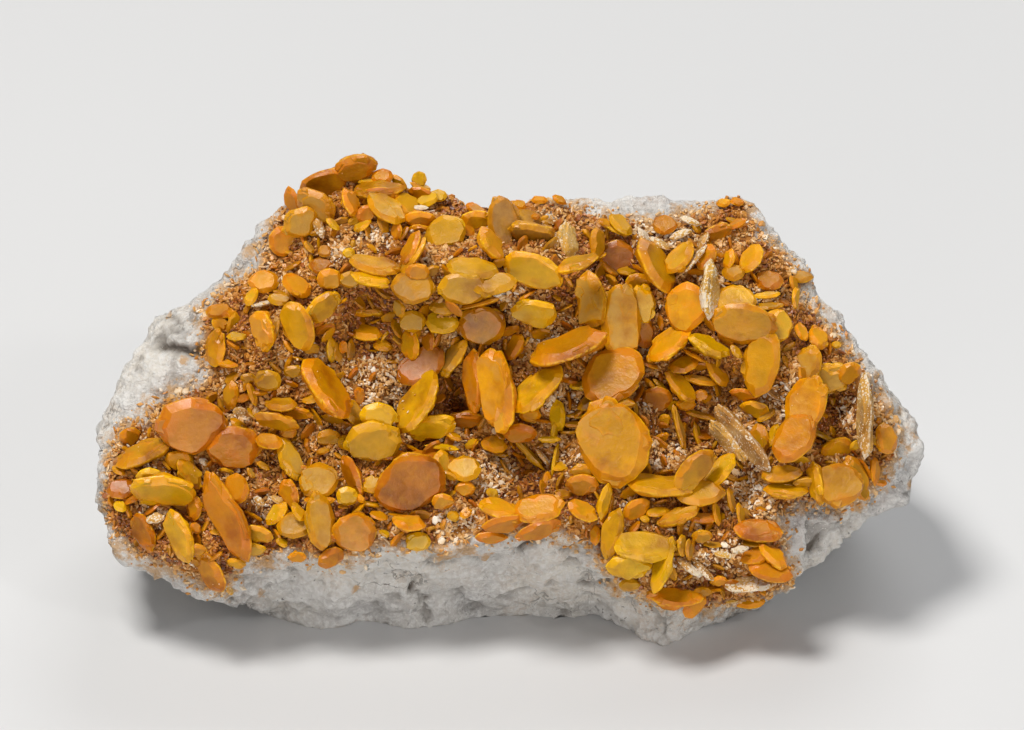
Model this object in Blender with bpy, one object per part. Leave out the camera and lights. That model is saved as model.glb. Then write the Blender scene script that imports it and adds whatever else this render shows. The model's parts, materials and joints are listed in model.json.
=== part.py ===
"""Tabular wulfenite crystals on a wedge of rough limestone.

The specimen stands on a flat base and its crystal-covered face leans back. Places on it are given in
the frame of that face, in millimetres: u runs across it to the right, v up it, and w out of it.
"""

import math
import random

import bmesh
import bpy
from mathutils import Vector, noise

MM = 0.001

# The face frame
LEAN = math.radians(30)  # how far the face leans back from upright
ACROSS = Vector((1, 0, 0))
UP_FACE = Vector((0, math.sin(LEAN), math.cos(LEAN)))
OUT = Vector((0, -math.cos(LEAN), math.sin(LEAN)))
CENTRE_X = 0.0  # the middle of the specimen across, and front to back, which is the part's origin
CENTRE_Y = 16.3

# The limestone matrix
BACK_W = -28.0  # how far behind the face frame's zero the back lies
SPINE = (-45.0, 45.0, 32.0)  # the line that the rings of the rock close on: from u, to u, at v
FRONT_RINGS = (0.05, 0.14, 0.24, 0.35, 0.47, 0.60, 0.74, 0.88)  # shares of the way from rim to spine
BACK_RINGS = ((0.04, 0.27), (0.12, 0.60), (0.30, 0.88), (0.62, 1.0))  # share of the way in, share back
FRONT_ROUGHNESS = 0.55  # height of the lumps on the front, and how far apart they are
FRONT_LUMP = 4.5
BACK_ROUGHNESS = 2.6
BACK_LUMP = 15.0
FINE_LUMPS = 2.3  # how much smaller the second size of lump is, and its share of the height
FINE_SHARE = 0.5
FLOOR_SNAP = 0.5  # points this close to the floor are put on it
SOFTNESS = 0.6  # rounds the relief off at each of its spot depths
SHARPNESS = 2.5  # makes ledges between the spot depths steeper

# The crystals
SIDES = 8
SMALL_SIDES = 6
GAP = 0.3  # clear space between neighbouring solids
SUNK = 0.25  # share of the thickness that a plate lying flat is lifted by
LEAN_OUT = 0.5  # share of the half width of a leaning plate that stands out of the rock
RAGGED = 0.07  # how uneven a plate's outline is
BEVEL = 0.75  # width of the bevels, as a share of the thickness
WIDEST_BEVEL = 0.34  # and the most of the outline that they may take
SMALLEST_EDGE = 0.004
FLAT_ENOUGH = math.radians(4)  # faces closer to level with each other than this are made one

# The rim of the rock as seen square on to the face, clockwise from the left: u, v, w
RIM = (
    (-62.7, 27.5, 10), (-61.8, 30.0, 10), (-60.0, 34.0, 9.5), (-58.5, 37.2, 9), (-56.5, 40.0, 9),
    (-54.3, 42.7, 8.5), (-53.9, 44.8, 8), (-52.2, 46.4, 8), (-48.5, 47.1, 8), (-46.0, 48.6, 8),
    (-44.0, 51.6, 8), (-41.8, 54.0, 8), (-40.0, 56.8, 8), (-38.0, 59.4, 8), (-35.3, 61.8, 8),
    (-33.8, 64.0, 8), (-31.5, 65.8, 8), (-28.0, 66.6, 9), (-25.0, 68.2, 10), (-21.5, 68.2, 10),
    (-18.5, 66.6, 10), (-14.5, 65.2, 9), (-10.3, 64.6, 8), (-7.5, 63.2, 7), (-3.5, 62.9, 7),
    (1.0, 63.0, 7), (5.0, 64.1, 7), (10.0, 63.3, 6), (15.0, 63.5, 6), (19.0, 63.8, 6), (23.0, 64.3, 6),
    (26.5, 63.5, 6), (30.0, 63.5, 6), (33.5, 64.3, 6), (36.3, 63.2, 6), (38.9, 60.0, 7), (41.5, 57.1, 7),
    (44.6, 54.8, 7), (46.0, 52.0, 7), (47.3, 48.7, 8), (50.0, 46.2, 8), (51.0, 43.2, 8),
    (53.6, 40.6, 8), (55.8, 37.5, 8), (57.0, 35.2, 8), (59.0, 32.8, 8), (61.0, 30.8, 8), (61.9, 27.8, 8),
    (62.6, 24.8, 8), (61.6, 22.3, 8), (61.1, 19.0, 8), (59.8, 17.2, 8), (56.0, 15.9, 7.5),
    (53.0, 13.4, 7), (50.2, 11.7, 7), (48.2, 9.4, 7.5), (46.3, 8.0, 8), (43.9, 7.4, 9), (42.5, 5.0, 9),
    (40.5, 3.4, 7), (38.0, 2.3, 3), (35.5, 0.6, -1.0), (33.0, -0.6, 1.0), (30.0, -1.0, 1.7),
    (27.0, -2.7, 4.7), (23.5, -4.1, 7.1), (20.0, -3.2, 5.5), (17.0, -0.9, 1.6), (13.5, 0.6, -1.0),
    (9.5, 0.0, 0.0), (5.0, 0.2, -0.3), (0.0, 0.3, -0.5), (-5.0, -0.1, 0.2), (-10.0, -1.0, 1.7),
    (-15.0, -1.7, 2.9), (-19.0, -1.0, 1.7), (-22.5, -0.3, 0.5), (-26.0, -1.7, 2.9), (-29.0, -1.8, 3.1),
    (-32.0, -1.0, 1.7), (-36.0, 0.0, 0.0), (-39.0, 1.1, 3.0), (-42.0, 2.1, 8), (-45.5, 2.7, 12),
    (-49.0, 4.2, 12), (-53.0, 6.2, 12), (-57.0, 8.0, 13), (-59.2, 10.2, 14), (-60.4, 13.2, 15),
    (-60.3, 16.0, 15), (-62.4, 18.3, 15), (-62.4, 21.5, 15), (-61.0, 24.3, 12),
)

# Spot depths of the front inside the rim, in rows up the face: v, then pairs of u and w
RELIEF = (
    (60.5, ((-31, 13), (-25, 15), (-19, 15), (-13, 14), (-7, 15), (0, 14), (6, 14), (12, 12), (18, 10),
            (24, 10), (30, 10), (36, 9))),
    (54.0, ((-37, 11), (-30, 14), (-24, 17), (-19, 20), (-13, 21), (-8, 22), (-3, 22), (4, 20), (10, 17),
            (16, 9), (21, 12), (27, 13), (33, 13), (38, 12), (43, 10))),
    (50.0, ((-25, 17), (-19, 19), (-13, 21), (-7, 22), (-2, 22), (4, 20), (9, 15))),
    (47.5, ((-43, 11), (-37, 13), (-31, 16), (-26, 17), (-21, 10), (-16, 15), (-10, 15), (-4, 13),
            (4, 17), (9, 12), (14, 15), (20, 12), (26, 14), (31, 15), (36, 15), (42, 12))),
    (42.0, ((-50, 12), (-45, 13), (-40, 15), (-36, 18), (-31, 17), (-26, 14), (-21, 10), (-15, 12),
            (-9, 13), (-3, 14), (3, 12), (9, 16), (15, 14), (21, 11), (26, 13), (31, 15), (37, 16),
            (43, 13), (48, 11))),
    (36.0, ((-57, 10), (-52, 12), (-47, 13), (-42, 14), (-37, 18), (-32, 16), (-28, 16), (-22, 12),
            (-17, 11), (-12, 13), (-8, 6), (-2, 15), (4, 15), (10, 12), (16, 15), (21, 11), (26, 12),
            (31, 11), (37, 14), (43, 16), (48, 11), (53, 13))),
    (32.5, ((-56, 12), (-47, 15), (-38, 17), (-12, 13), (-8, 6), (-2, 15), (9, 12), (17, 16), (25, 11),
            (38, 13), (44, 16), (49.5, 7), (53, 13), (57, 10))),
    (28.5, ((-59, 11), (-54, 13), (-47, 17), (-41, 17), (-35, 18), (-30, 14), (-25, 14), (-20, 16),
            (-14, 9), (-9, 13), (-4, 9), (2, 13), (8, 13), (14, 17), (20, 17), (24, 11), (29, 8),
            (33, 15), (38, 13), (43, 17), (48, 10), (53, 14), (57, 12))),
    (22.5, ((-59, 16), (-53, 18), (-47, 16), (-42, 19), (-36, 17), (-31, 17), (-27, 18), (-22, 17),
            (-15, 18), (-9, 16), (-4, 14), (2.5, 6), (7, 12), (12, 17), (17, 18), (22, 15), (27, 18),
            (34, 8), (38, 14), (43, 16), (49, 16), (53, 14), (57, 11))),
    (16.0, ((-58, 17), (-53, 19), (-48, 18), (-44, 19), (-40, 20), (-35, 18), (-30, 20), (-25, 20),
            (-20, 19), (-14, 20), (-8, 19), (-1, 21), (5, 21), (10, 19), (15, 19), (20, 18), (25, 18),
            (30, 17), (34, 17), (38, 18), (43, 12), (49, 11), (54, 9))),
    (10.5, ((-55, 17), (-50, 20), (-46, 21), (-41, 20), (-36, 19), (-30, 20), (-25, 19), (-20, 19),
            (-14, 19), (-8, 19), (-3, 18), (3, 17), (8, 16), (13, 17), (18, 20), (23, 20), (28, 19),
            (33, 19), (38, 18), (42, 12), (46, 10))),
    (5.0, ((-49, 15), (-45, 18), (-40, 13), (-34, 10), (-27, 11), (-20, 9.5), (-13, 9), (-6, 8.5), (1, 8),
           (8, 8), (14, 11), (19, 15), (24, 17), (29, 16), (34, 15), (38, 14))),
    (1.5, ((-31, 4), (-20, 4), (-10, 4), (0, 3), (10, 3), (18, 6), (24, 12), (29, 10), (34, 5))),
)

TINTS = {
    "golden": (0.68, 0.31, 0.012),
    "butterscotch": (0.75, 0.35, 0.07),
    "amber": (0.58, 0.22, 0.012),
    "orange": (0.62, 0.18, 0.02),
    "burnt": (0.50, 0.13, 0.013),
    "tan": (0.51, 0.26, 0.10),
    "salmon": (0.67, 0.24, 0.045),
    "brown": (0.37, 0.14, 0.03),
    "yellow": (0.64, 0.35, 0.03),
    "straw": (0.68, 0.45, 0.20),
}
LIMESTONE = (0.62, 0.58, 0.52)

# The large crystals. Each plate: u, v, length, width, thickness, the way its face tips and how far
# (degrees from facing out of the face), and how far it is raised off the rock.
CRYSTALS = {
    "peak_crystals": ("amber", (
        (-23.0, 68.2, 6.4, 5.0, 1.8, -80, 35, 0.6), (-27.8, 65.8, 8.0, 5.2, 1.6, -70, 38, 0.6))),
    "peak_left_crystals": ("butterscotch", (
        (-29.0, 62.4, 6.8, 5.2, 1.8, -125, 35, 0.8), (-31.3, 59.9, 5.8, 4.8, 1.5, -60, 25, 0.6))),
    "peak_right_crystals": ("golden", (
        (-19.5, 64.8, 8.0, 3.8, 1.4, 95, 60, 2.0), (-18.5, 61.9, 6.6, 5.0, 1.6, 57, 50, -0.4),
        (-15.4, 62.4, 5.0, 4.0, 1.5, 40, 45, 0.6))),
    "top_olive_crystal": ("yellow", ((-9.4, 58.3, 6.2, 5.4, 1.5, 100, 12, 1.6),)),
    "top_centre_crystals": ("tan", (
        (-0.8, 60.0, 8.0, 5.5, 1.5, 10, 22, 0.8), (3.5, 58.4, 7.2, 5.0, 1.6, -98, 58, 1.4))),
    "ledge_drape_crystals": ("golden", (
        (3.6, 52.6, 9.5, 6.0, 1.4, -110, 35, 0.4), (10.0, 53.6, 6.8, 4.0, 1.3, 108, 66, 4.0))),
    "upper_right_lens": ("golden", (
        (22.0, 53.2, 9.6, 6.5, 2.0, 28, 60, 1.0), (25.6, 54.6, 5.8, 4.2, 1.4, 140, 40, 0.4))),
    "ledge_left_crystals": ("golden", (
        (-20.0, 53.4, 8.0, 3.6, 1.4, 80, 42, 0.8), (-20.5, 51.4, 6.0, 3.4, 1.3, 78, 50, 2.6))),
    "ledge_tan_crystal": ("tan", ((-14.3, 50.2, 6.6, 5.2, 1.4, 90, 12, 1.4),)),
    "ledge_yellow_crystals": ("yellow", (
        (-5.5, 52.9, 8.0, 4.6, 1.5, 82, 42, 0.6), (-6.8, 50.0, 7.6, 5.4, 1.5, -90, 20, 1.0),
        (-2.4, 50.6, 7.0, 4.2, 1.4, 98, 32, 1.2))),
    "square_crystal": ("brown", ((-4.0, 44.5, 7.6, 6.0, 1.5, -90, 16, 0.4),)),
    "pale_shell_crystal": ("butterscotch", ((3.9, 46.3, 7.0, 5.0, 1.4, -98, 40, 0.8),)),
    "golden_left_crystals": ("golden", (
        (-31.5, 44.5, 8.0, 5.4, 1.7, 205, 32, 1.0), (-27.9, 47.2, 6.2, 4.4, 1.4, -50, 40, 0.8))),
    "salmon_left_crystal": ("salmon", ((-36.8, 43.8, 6.4, 4.4, 1.8, 195, 45, 0.8),)),
    "left_edge_crystal": ("amber", ((-44.0, 41.0, 6.0, 3.6, 1.6, 175, 35, 0.6),)),
    "long_orange_blade": ("orange", ((-27.3, 35.0, 11.5, 7.0, 2.0, 38, 58, 1.6),)),
    "small_tan_lens": ("tan", ((-8.2, 39.6, 6.4, 3.8, 1.6, 147, 58, 1.2),)),
    "shaded_plate": ("brown", ((-13.2, 38.4, 8.0, 5.5, 1.4, 125, 25, 0.4),)),
    "central_long_lens": ("amber", ((9.0, 41.2, 11.8, 7.0, 2.1, 110, 60, 1.8),)),
    "bevelled_plate": ("amber", ((15.4, 37.0, 10.6, 8.2, 2.2, 130, 18, 1.0),)),
    "upper_middle_crystals": ("butterscotch", (
        (16.7, 45.3, 11.5, 6.4, 1.7, 2, 12, 1.4), (12.3, 48.3, 9.0, 5.0, 1.6, 185, 28, 0.6),
        (20.0, 47.7, 6.0, 4.4, 1.5, 0, 25, 1.4))),
    "orange_lens": ("orange", ((24.0, 41.8, 8.2, 5.2, 1.7, 128, 52, 1.0),)),
    "bright_orange_disc": ("orange", ((26.7, 47.3, 7.4, 6.6, 1.6, 180, 16, 0.8),)),
    "rough_column": ("straw", ((30.0, 49.8, 9.0, 3.8, 1.8, -2, 58, 1.6),)),
    "right_ridge_crystals": ("golden", (
        (35.2, 44.8, 10.0, 6.8, 1.6, -100, 25, 1.0), (33.6, 48.0, 7.0, 5.2, 1.4, 90, 22, 0.4),
        (40.2, 44.5, 5.4, 4.8, 1.5, 0, 20, 1.8))),
    "golden_oval": ("golden", ((37.8, 38.8, 10.2, 6.0, 1.8, 170, 22, 1.2),)),
    "pale_lens": ("yellow", ((29.8, 41.5, 6.6, 4.2, 1.5, 63, 58, 0.8),)),
    "right_butterscotch_crystals": ("butterscotch", (
        (47.9, 36.6, 6.8, 5.2, 2.0, -90, 24, 0.4), (44.8, 38.4, 6.2, 4.6, 1.6, 160, 20, -1.4))),
    "left_disc_crystals": ("orange", (
        (-47.4, 29.4, 10.8, 9.0, 2.6, -90, 18, 1.2), (-41.3, 26.3, 7.8, 7.4, 2.2, -90, 20, 0.4))),
    "crusted_left_blade": ("golden", ((-54.6, 25.4, 9.6, 4.4, 2.0, 115, 50, 1.0),)),
    "lower_left_plate": ("golden", ((-51.6, 19.8, 10.4, 5.8, 1.8, -95, 42, 1.0),)),
    "long_salmon_blade": ("salmon", (
        (-42.0, 16.0, 14.4, 5.4, 2.0, 205, 35, 1.4), (-40.6, 20.0, 4.8, 4.4, 1.5, 180, 25, 2.2))),
    "corner_blade": ("golden", ((-49.2, 13.0, 8.2, 4.6, 1.7, 200, 40, 1.0),)),
    "corner_tip_crystal": ("amber", ((-44.6, 7.6, 7.0, 4.0, 1.7, 212, 36, 0.4),)),
    "pale_front_crystals": ("butterscotch", (
        (-28.3, 21.2, 6.0, 5.6, 1.6, 90, 12, 1.2), (-28.2, 15.4, 8.6, 4.8, 1.7, 5, 22, 0.2))),
    "yellow_disc_crystals": ("yellow", (
        (-20.3, 27.2, 8.8, 6.6, 2.0, -90, 25, 1.2), (-19.6, 31.0, 5.8, 4.2, 1.5, -90, 20, 2.2))),
    "brown_amber_plate": ("brown", ((-14.6, 21.0, 11.4, 8.6, 2.2, -70, 16, 0.8),)),
    "leaning_plates": ("golden", (
        (-13.6, 33.0, 10.6, 5.8, 1.9, 150, 45, 1.2), (-11.6, 29.2, 7.4, 4.6, 1.6, -80, 35, 2.8))),
    "mauve_blade": ("salmon", ((-6.6, 30.4, 6.6, 3.2, 1.4, -90, 50, 1.0),)),
    "tall_lens_pair": ("salmon", (
        (-1.9, 34.8, 13.0, 5.8, 2.2, 188, 26, 1.8), (-5.3, 36.0, 9.6, 4.2, 1.6, 180, 50, 6.0))),
    "slanting_lens": ("golden", ((4.3, 34.9, 10.0, 5.6, 2.0, 135, 46, 1.2),)),
    "great_plate": ("amber", ((15.6, 26.9, 13.6, 11.2, 2.7, 200, 13, 1.6),)),
    "lower_right_fan": ("golden", (
        (27.7, 23.0, 7.8, 4.8, 1.9, -45, 35, 1.4), (22.4, 20.5, 10.4, 4.8, 1.6, 85, 54, 3.0),
        (28.4, 19.5, 7.6, 4.6, 1.6, 90, 30, 0.6), (31.4, 22.6, 6.6, 4.0, 1.5, 140, 40, 7.4))),
    "crusted_right_blades": ("straw", (
        (34.8, 27.6, 13.4, 4.4, 1.6, 220, 52, 1.8), (32.7, 27.2, 8.4, 3.4, 1.3, 220, 56, 1.0))),
    "salmon_right_crystals": ("salmon", (
        (44.4, 32.6, 9.0, 6.4, 1.9, 160, 20, 1.2), (42.5, 27.6, 8.6, 6.2, 1.9, 150, 20, 1.0))),
    "right_corner_crystals": ("golden", (
        (49.3, 20.6, 7.4, 7.0, 1.8, 90, 16, 1.0), (52.1, 21.6, 7.0, 3.8, 1.5, 20, 38, 0.8),
        (46.0, 20.8, 6.6, 3.4, 1.5, 190, 62, 1.2))),
    "white_druse_blade": ("straw", ((53.3, 31.0, 13.0, 3.8, 1.7, 180, 66, 1.6),)),
    "outlying_crystal": ("amber", ((56.6, 27.5, 4.8, 3.8, 1.4, 10, 28, 0.6),)),
    "amber_front_crystal": ("amber", ((-23.0, 13.7, 6.6, 6.0, 1.7, -90, 16, 0.6),)),
    "front_lip_crystals": ("orange", (
        (4.4, 17.2, 7.6, 5.2, 1.7, 100, 35, 0.6), (-1.2, 16.9, 7.2, 3.6, 1.5, 70, 45, 0.8),
        (-0.9, 15.0, 6.6, 3.2, 1.4, -80, 46, 1.0), (4.4, 14.1, 7.2, 3.4, 1.4, -70, 45, 1.6))),
    "yellow_upright_crystal": ("yellow", ((15.4, 13.4, 7.6, 3.6, 1.6, 165, 32, 0.8),)),
    "yellow_shelf_crystals": ("yellow", (
        (20.2, 11.4, 9.4, 5.4, 1.8, 85, 35, 0.8), (17.9, 8.5, 6.6, 4.0, 1.5, -90, 25, 1.2),
        (22.9, 8.6, 9.0, 3.6, 1.4, 162, 50, 0.8))),
    "right_tip_crystals": ("orange", (
        (39.1, 7.8, 6.8, 4.2, 1.8, 75, 35, 3.0), (36.9, 10.1, 4.8, 3.2, 1.4, 110, 45, -0.6),
        (39.5, 10.0, 5.4, 3.2, 1.4, 50, 45, 0.8))),
    "pale_straight_blade": ("straw", ((36.0, 5.6, 8.0, 3.2, 1.3, 95, 52, 1.2),)),
    "lowest_crystals": ("orange", (
        (24.8, 3.8, 8.4, 3.8, 1.6, 85, 46, 0.2), (27.8, 2.5, 4.6, 3.0, 1.4, -40, 30, 5.0))),
}

# The smaller crystals, which have grown into the crust on the rock and are one solid with it
SMALL_CRYSTALS = (
    (-34.0, 57.2, 5.0, 4.6, 1.6, -20, 18, 0.4), (-23.8, 62.8, 4.6, 3.4, 1.6, 24, 55, 0.6),
    (-13.3, 60.4, 5.2, 3.2, 1.4, -92, 45, 0.8), (-14.6, 56.0, 5.6, 3.4, 1.3, 155, 60, 0.8),
    (-28.2, 53.4, 3.8, 3.0, 1.3, 90, 30, 0.4), (-5.0, 60.3, 4.8, 3.6, 1.4, -80, 35, 0.6),
    (-2.7, 56.8, 5.6, 3.8, 1.5, 30, 52, 0.8), (8.9, 57.2, 5.6, 3.6, 1.5, 10, 45, 0.6),
    (13.2, 56.8, 5.2, 3.0, 1.4, 0, 45, 0.6), (16.2, 54.8, 6.2, 5.4, 1.4, -90, 20, 0.4),
    (16.8, 59.6, 4.4, 3.2, 1.3, 52, 50, 0.6), (23.4, 59.6, 3.8, 3.2, 1.2, 90, 20, 0.4),
    (31.4, 58.4, 4.6, 3.4, 1.4, -70, 40, 0.6), (36.4, 54.6, 5.0, 3.8, 1.5, 150, 40, 0.6),
    (29.6, 54.8, 4.4, 3.2, 1.4, 155, 42, 0.4), (-36.8, 51.0, 4.8, 3.8, 1.4, 90, 18, 0.4),
    (-31.8, 50.4, 5.0, 3.4, 1.4, 55, 28, 0.4), (-26.8, 51.4, 4.0, 3.6, 1.5, -90, 24, 0.4),
    (-21.4, 47.2, 6.4, 3.6, 1.4, 85, 55, 0.6), (-21.5, 43.4, 5.4, 3.6, 1.5, 85, 48, 0.4),
    (-43.6, 46.6, 4.2, 3.0, 1.4, 90, 40, 0.4), (-14.8, 41.6, 5.0, 3.6, 1.5, 190, 38, 0.8),
    (-9.9, 44.9, 5.0, 4.0, 1.4, 90, 25, 0.6), (-9.6, 47.4, 4.8, 3.2, 1.3, 95, 35, 0.8),
    (0.8, 41.2, 4.4, 3.0, 1.4, 150, 48, 0.6), (26.2, 38.6, 5.0, 3.2, 1.3, 102, 38, 0.4),
    (31.2, 37.6, 5.4, 3.2, 1.3, 32, 45, 0.6), (39.0, 51.2, 4.4, 3.4, 1.3, 90, 25, 0.4),
    (51.0, 37.4, 4.0, 3.4, 1.4, -60, 30, 0.4), (-41.7, 34.0, 4.6, 3.0, 1.4, 175, 35, 0.8),
    (-36.0, 36.2, 4.4, 3.6, 1.4, -90, 30, 0.8), (-34.0, 32.6, 5.0, 3.2, 1.4, 90, 52, 1.0),
    (-34.8, 30.2, 7.0, 3.4, 1.4, -105, 55, 1.0), (-35.8, 27.2, 4.4, 3.2, 1.4, 80, 40, 0.8),
    (-32.8, 24.6, 7.0, 3.8, 1.4, 25, 38, 0.8), (-27.0, 27.6, 3.8, 3.0, 1.3, -90, 25, 0.4),
    (-23.4, 31.4, 4.6, 3.2, 1.4, 30, 38, 0.8), (-23.4, 22.0, 6.8, 3.4, 1.3, 200, 48, 0.8),
    (-20.5, 20.6, 4.0, 3.0, 1.4, 90, 34, 0.6), (-10.2, 23.6, 4.8, 3.2, 1.4, 0, 34, 0.8),
    (-6.8, 23.0, 5.2, 4.2, 1.5, 90, 24, 0.8), (-2.2, 26.6, 4.0, 3.0, 1.5, 80, 34, 0.6),
    (1.6, 28.3, 5.2, 3.4, 1.5, -90, 28, 0.8), (7.2, 31.2, 5.0, 3.2, 1.4, 185, 38, 0.8),
    (12.4, 33.2, 5.0, 3.0, 1.4, 120, 40, 0.4), (22.2, 33.4, 4.8, 4.2, 1.4, -90, 28, 0.4),
    (25.6, 35.4, 6.4, 3.4, 1.3, 40, 48, 0.8), (36.9, 32.0, 4.6, 3.0, 1.4, -100, 40, 0.6),
    (37.4, 27.4, 5.0, 3.6, 1.5, 180, 24, 0.2), (49.2, 25.9, 5.4, 3.8, 1.5, -65, 32, 0.8),
    (41.0, 22.2, 6.2, 3.2, 1.4, 95, 45, 0.8), (41.4, 19.8, 6.6, 3.2, 1.3, 88, 52, 1.0),
    (-53.6, 21.9, 4.4, 3.2, 1.4, -90, 34, 1.4), (-47.9, 22.4, 5.8, 3.6, 1.4, 30, 38, 0.8),
    (-47.0, 17.2, 4.0, 3.0, 1.3, 180, 40, 0.6), (-37.3, 13.4, 4.4, 3.0, 1.3, -110, 40, 0.8),
    (-32.9, 19.4, 4.6, 3.4, 1.4, 200, 34, 0.8), (-34.7, 16.4, 4.4, 3.0, 1.3, 140, 40, 0.8),
    (-26.6, 9.8, 4.2, 3.4, 1.5, -60, 30, 0.2), (-14.9, 15.0, 5.0, 3.2, 1.4, 80, 44, 0.8),
    (-13.6, 12.2, 3.8, 3.2, 1.3, -90, 14, 0.6), (11.0, 16.8, 5.0, 3.2, 1.5, 60, 36, 0.8),
    (11.0, 20.6, 5.0, 3.6, 1.4, -90, 26, 0.6), (25.2, 16.0, 6.6, 3.2, 1.4, 110, 44, 0.8),
    (19.0, 17.0, 4.6, 3.4, 1.4, -60, 34, 0.4), (37.2, 13.8, 7.6, 4.0, 1.8, 85, 24, 0.2),
    (-57.0, 27.9, 3.4, 3.0, 1.4, -70, 30, 0.6), (-58.0, 20.0, 4.4, 3.6, 1.5, 100, 30, 0.4),
    (-54.6, 13.6, 6.4, 3.6, 1.8, 200, 30, 0.4), (36.2, 2.9, 5.0, 2.8, 1.5, 90, 30, 0.2),
    (46.4, 42.6, 4.0, 3.2, 1.4, 20, 30, 0.4),
)


def in_face_frame(u, v, w):
    """The point in metres, for a place in the face frame in millimetres."""
    return (ACROSS * u + UP_FACE * v + OUT * w - Vector((CENTRE_X, CENTRE_Y, 0))) * MM


def spot_depths():
    """Every place where the depth of the front is set: the rim and the rows inside it."""
    inside = [(u, v, w) for v, row in RELIEF for u, w in row]
    return inside + list(RIM)


SPOT_DEPTHS = spot_depths()


def relief(u, v):
    """How far out the front of the rock lies at a place, from the spot depths around it."""
    weights = [(((u - a) ** 2 + (v - b) ** 2 + SOFTNESS) ** -SHARPNESS, w) for a, b, w in SPOT_DEPTHS]
    return sum(weight * w for weight, w in weights) / sum(weight for weight, _ in weights)


def new_object(name, bm, color, roughness=0.4):
    """An object of this mesh, in the scene, with a plain material of its own."""
    mesh = bpy.data.meshes.new(name)
    bm.to_mesh(mesh)
    bm.free()
    obj = bpy.data.objects.new(name, mesh)
    bpy.context.scene.collection.objects.link(obj)
    material = bpy.data.materials.new(name)
    material.use_nodes = True
    shader = material.node_tree.nodes["Principled BSDF"]
    shader.inputs["Base Color"].default_value = (*color, 1)
    shader.inputs["Roughness"].default_value = roughness
    mesh.materials.append(material)
    return obj


def toward_spine(u, v, share):
    """A place this share of the way from the rim to the nearest place on the spine."""
    spine_u = min(max(u, SPINE[0]), SPINE[1])
    return u + (spine_u - u) * share, v + (SPINE[2] - v) * share


def roughened(point, height, lump):
    """How far the rock's lumps lift a point, two sizes of lump together."""
    place = point / (lump * MM)
    return (noise.noise(place) + FINE_SHARE * noise.noise(place * FINE_LUMPS)) * height * MM


def add_ring(bm, ring, layer, place_of):
    """Extrudes a ring of edges and moves the new points to place_of(number of the point on the rim)."""
    made = bmesh.ops.extrude_edge_only(bm, edges=ring)["geom"]
    for vert in made:
        if isinstance(vert, bmesh.types.BMVert):
            vert.co = place_of(vert[layer])
    return [edge for edge in made if isinstance(edge, bmesh.types.BMEdge) and is_ring(edge, made)]


def is_ring(edge, made):
    """Whether both ends of the edge are among the points that were just made."""
    return all(vert in made for vert in edge.verts)


def thinned(bm, ring, layer):
    """Joins the points of the open ring two by two, and gives the ring of edges that is left."""
    pairs = []
    for edge in ring:
        first, second = sorted(vert[layer] for vert in edge.verts)
        if first % 2 == 0 and second == first + 1:
            pairs.append(edge)
    bmesh.ops.collapse(bm, edges=pairs)
    return [edge for edge in bm.edges if edge.is_boundary]


def rock():
    """The limestone wedge, with its relief in front, rough behind and cut flat underneath."""
    bm = bmesh.new()
    layer = bm.verts.layers.int.new("rim_point")
    bmesh.ops.create_circle(bm, segments=len(RIM), radius=1)
    bm.verts.ensure_lookup_table()
    for number, vert in enumerate(bm.verts):
        vert[layer] = number
        vert.co = in_face_frame(*RIM[number])
    rim_verts = set(bm.verts)
    rim_edges = list(bm.edges)
    front_verts = set()
    ring = rim_edges
    for share in FRONT_RINGS:
        def front(number, share=share):
            u, v = toward_spine(*RIM[number][:2], share)
            return in_face_frame(u, v, relief(u, v))
        ring = add_ring(bm, ring, layer, front)
        front_verts.update(vert for edge in ring for vert in edge.verts)
    bmesh.ops.edgeloop_fill(bm, edges=ring)
    ring = rim_edges
    for share, back in BACK_RINGS:
        def behind(number, share=share, back=back):
            u, v = toward_spine(*RIM[number][:2], share)
            return in_face_frame(u, v, RIM[number][2] * (1 - back) + BACK_W * back)
        ring = add_ring(bm, ring, layer, behind)
        if len(ring) == len(RIM):
            ring = thinned(bm, ring, layer)
    bmesh.ops.edgeloop_fill(bm, edges=ring)
    bmesh.ops.triangulate(bm, faces=bm.faces)
    bmesh.ops.recalc_face_normals(bm, faces=bm.faces)
    bm.normal_update()
    for vert in bm.verts:
        if vert in rim_verts:
            continue
        height, lump = (FRONT_ROUGHNESS, FRONT_LUMP) if vert in front_verts else (BACK_ROUGHNESS, BACK_LUMP)
        vert.co += vert.normal * roughened(vert.co, height, lump)
    for vert in bm.verts:
        if abs(vert.co.z) < FLOOR_SNAP * MM:
            vert.co.z = 0
    whole = list(bm.verts) + list(bm.edges) + list(bm.faces)
    cut = bmesh.ops.bisect_plane(bm, geom=whole, dist=1e-6, plane_co=(0, 0, 0), plane_no=(0, 0, -1),
                                 clear_outer=True)["geom_cut"]
    bmesh.ops.edgeloop_fill(bm, edges=[edge for edge in cut if isinstance(edge, bmesh.types.BMEdge)])
    tidy(bm)
    return new_object("limestone_matrix", bm, LIMESTONE, 0.9)


def tidy(bm):
    """Leaves a closed mesh of triangles that face out, with no stray points and no hair-thin edges."""
    bmesh.ops.dissolve_degenerate(bm, dist=SMALLEST_EDGE * MM, edges=bm.edges)
    loose = [vert for vert in bm.verts if not vert.link_faces]
    bmesh.ops.delete(bm, geom=loose, context="VERTS")
    bmesh.ops.triangulate(bm, faces=bm.faces)
    bmesh.ops.recalc_face_normals(bm, faces=bm.faces)


def middle(plate):
    """The place in the face frame where the middle of a plate lies."""
    u, v, _, width, thick, _, tilt, raised = plate
    tilt = math.radians(tilt)
    lift = SUNK * thick * math.cos(tilt) + LEAN_OUT * width / 2 * math.sin(tilt) + raised
    return Vector((u, v, relief(u, v) + lift))


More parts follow.
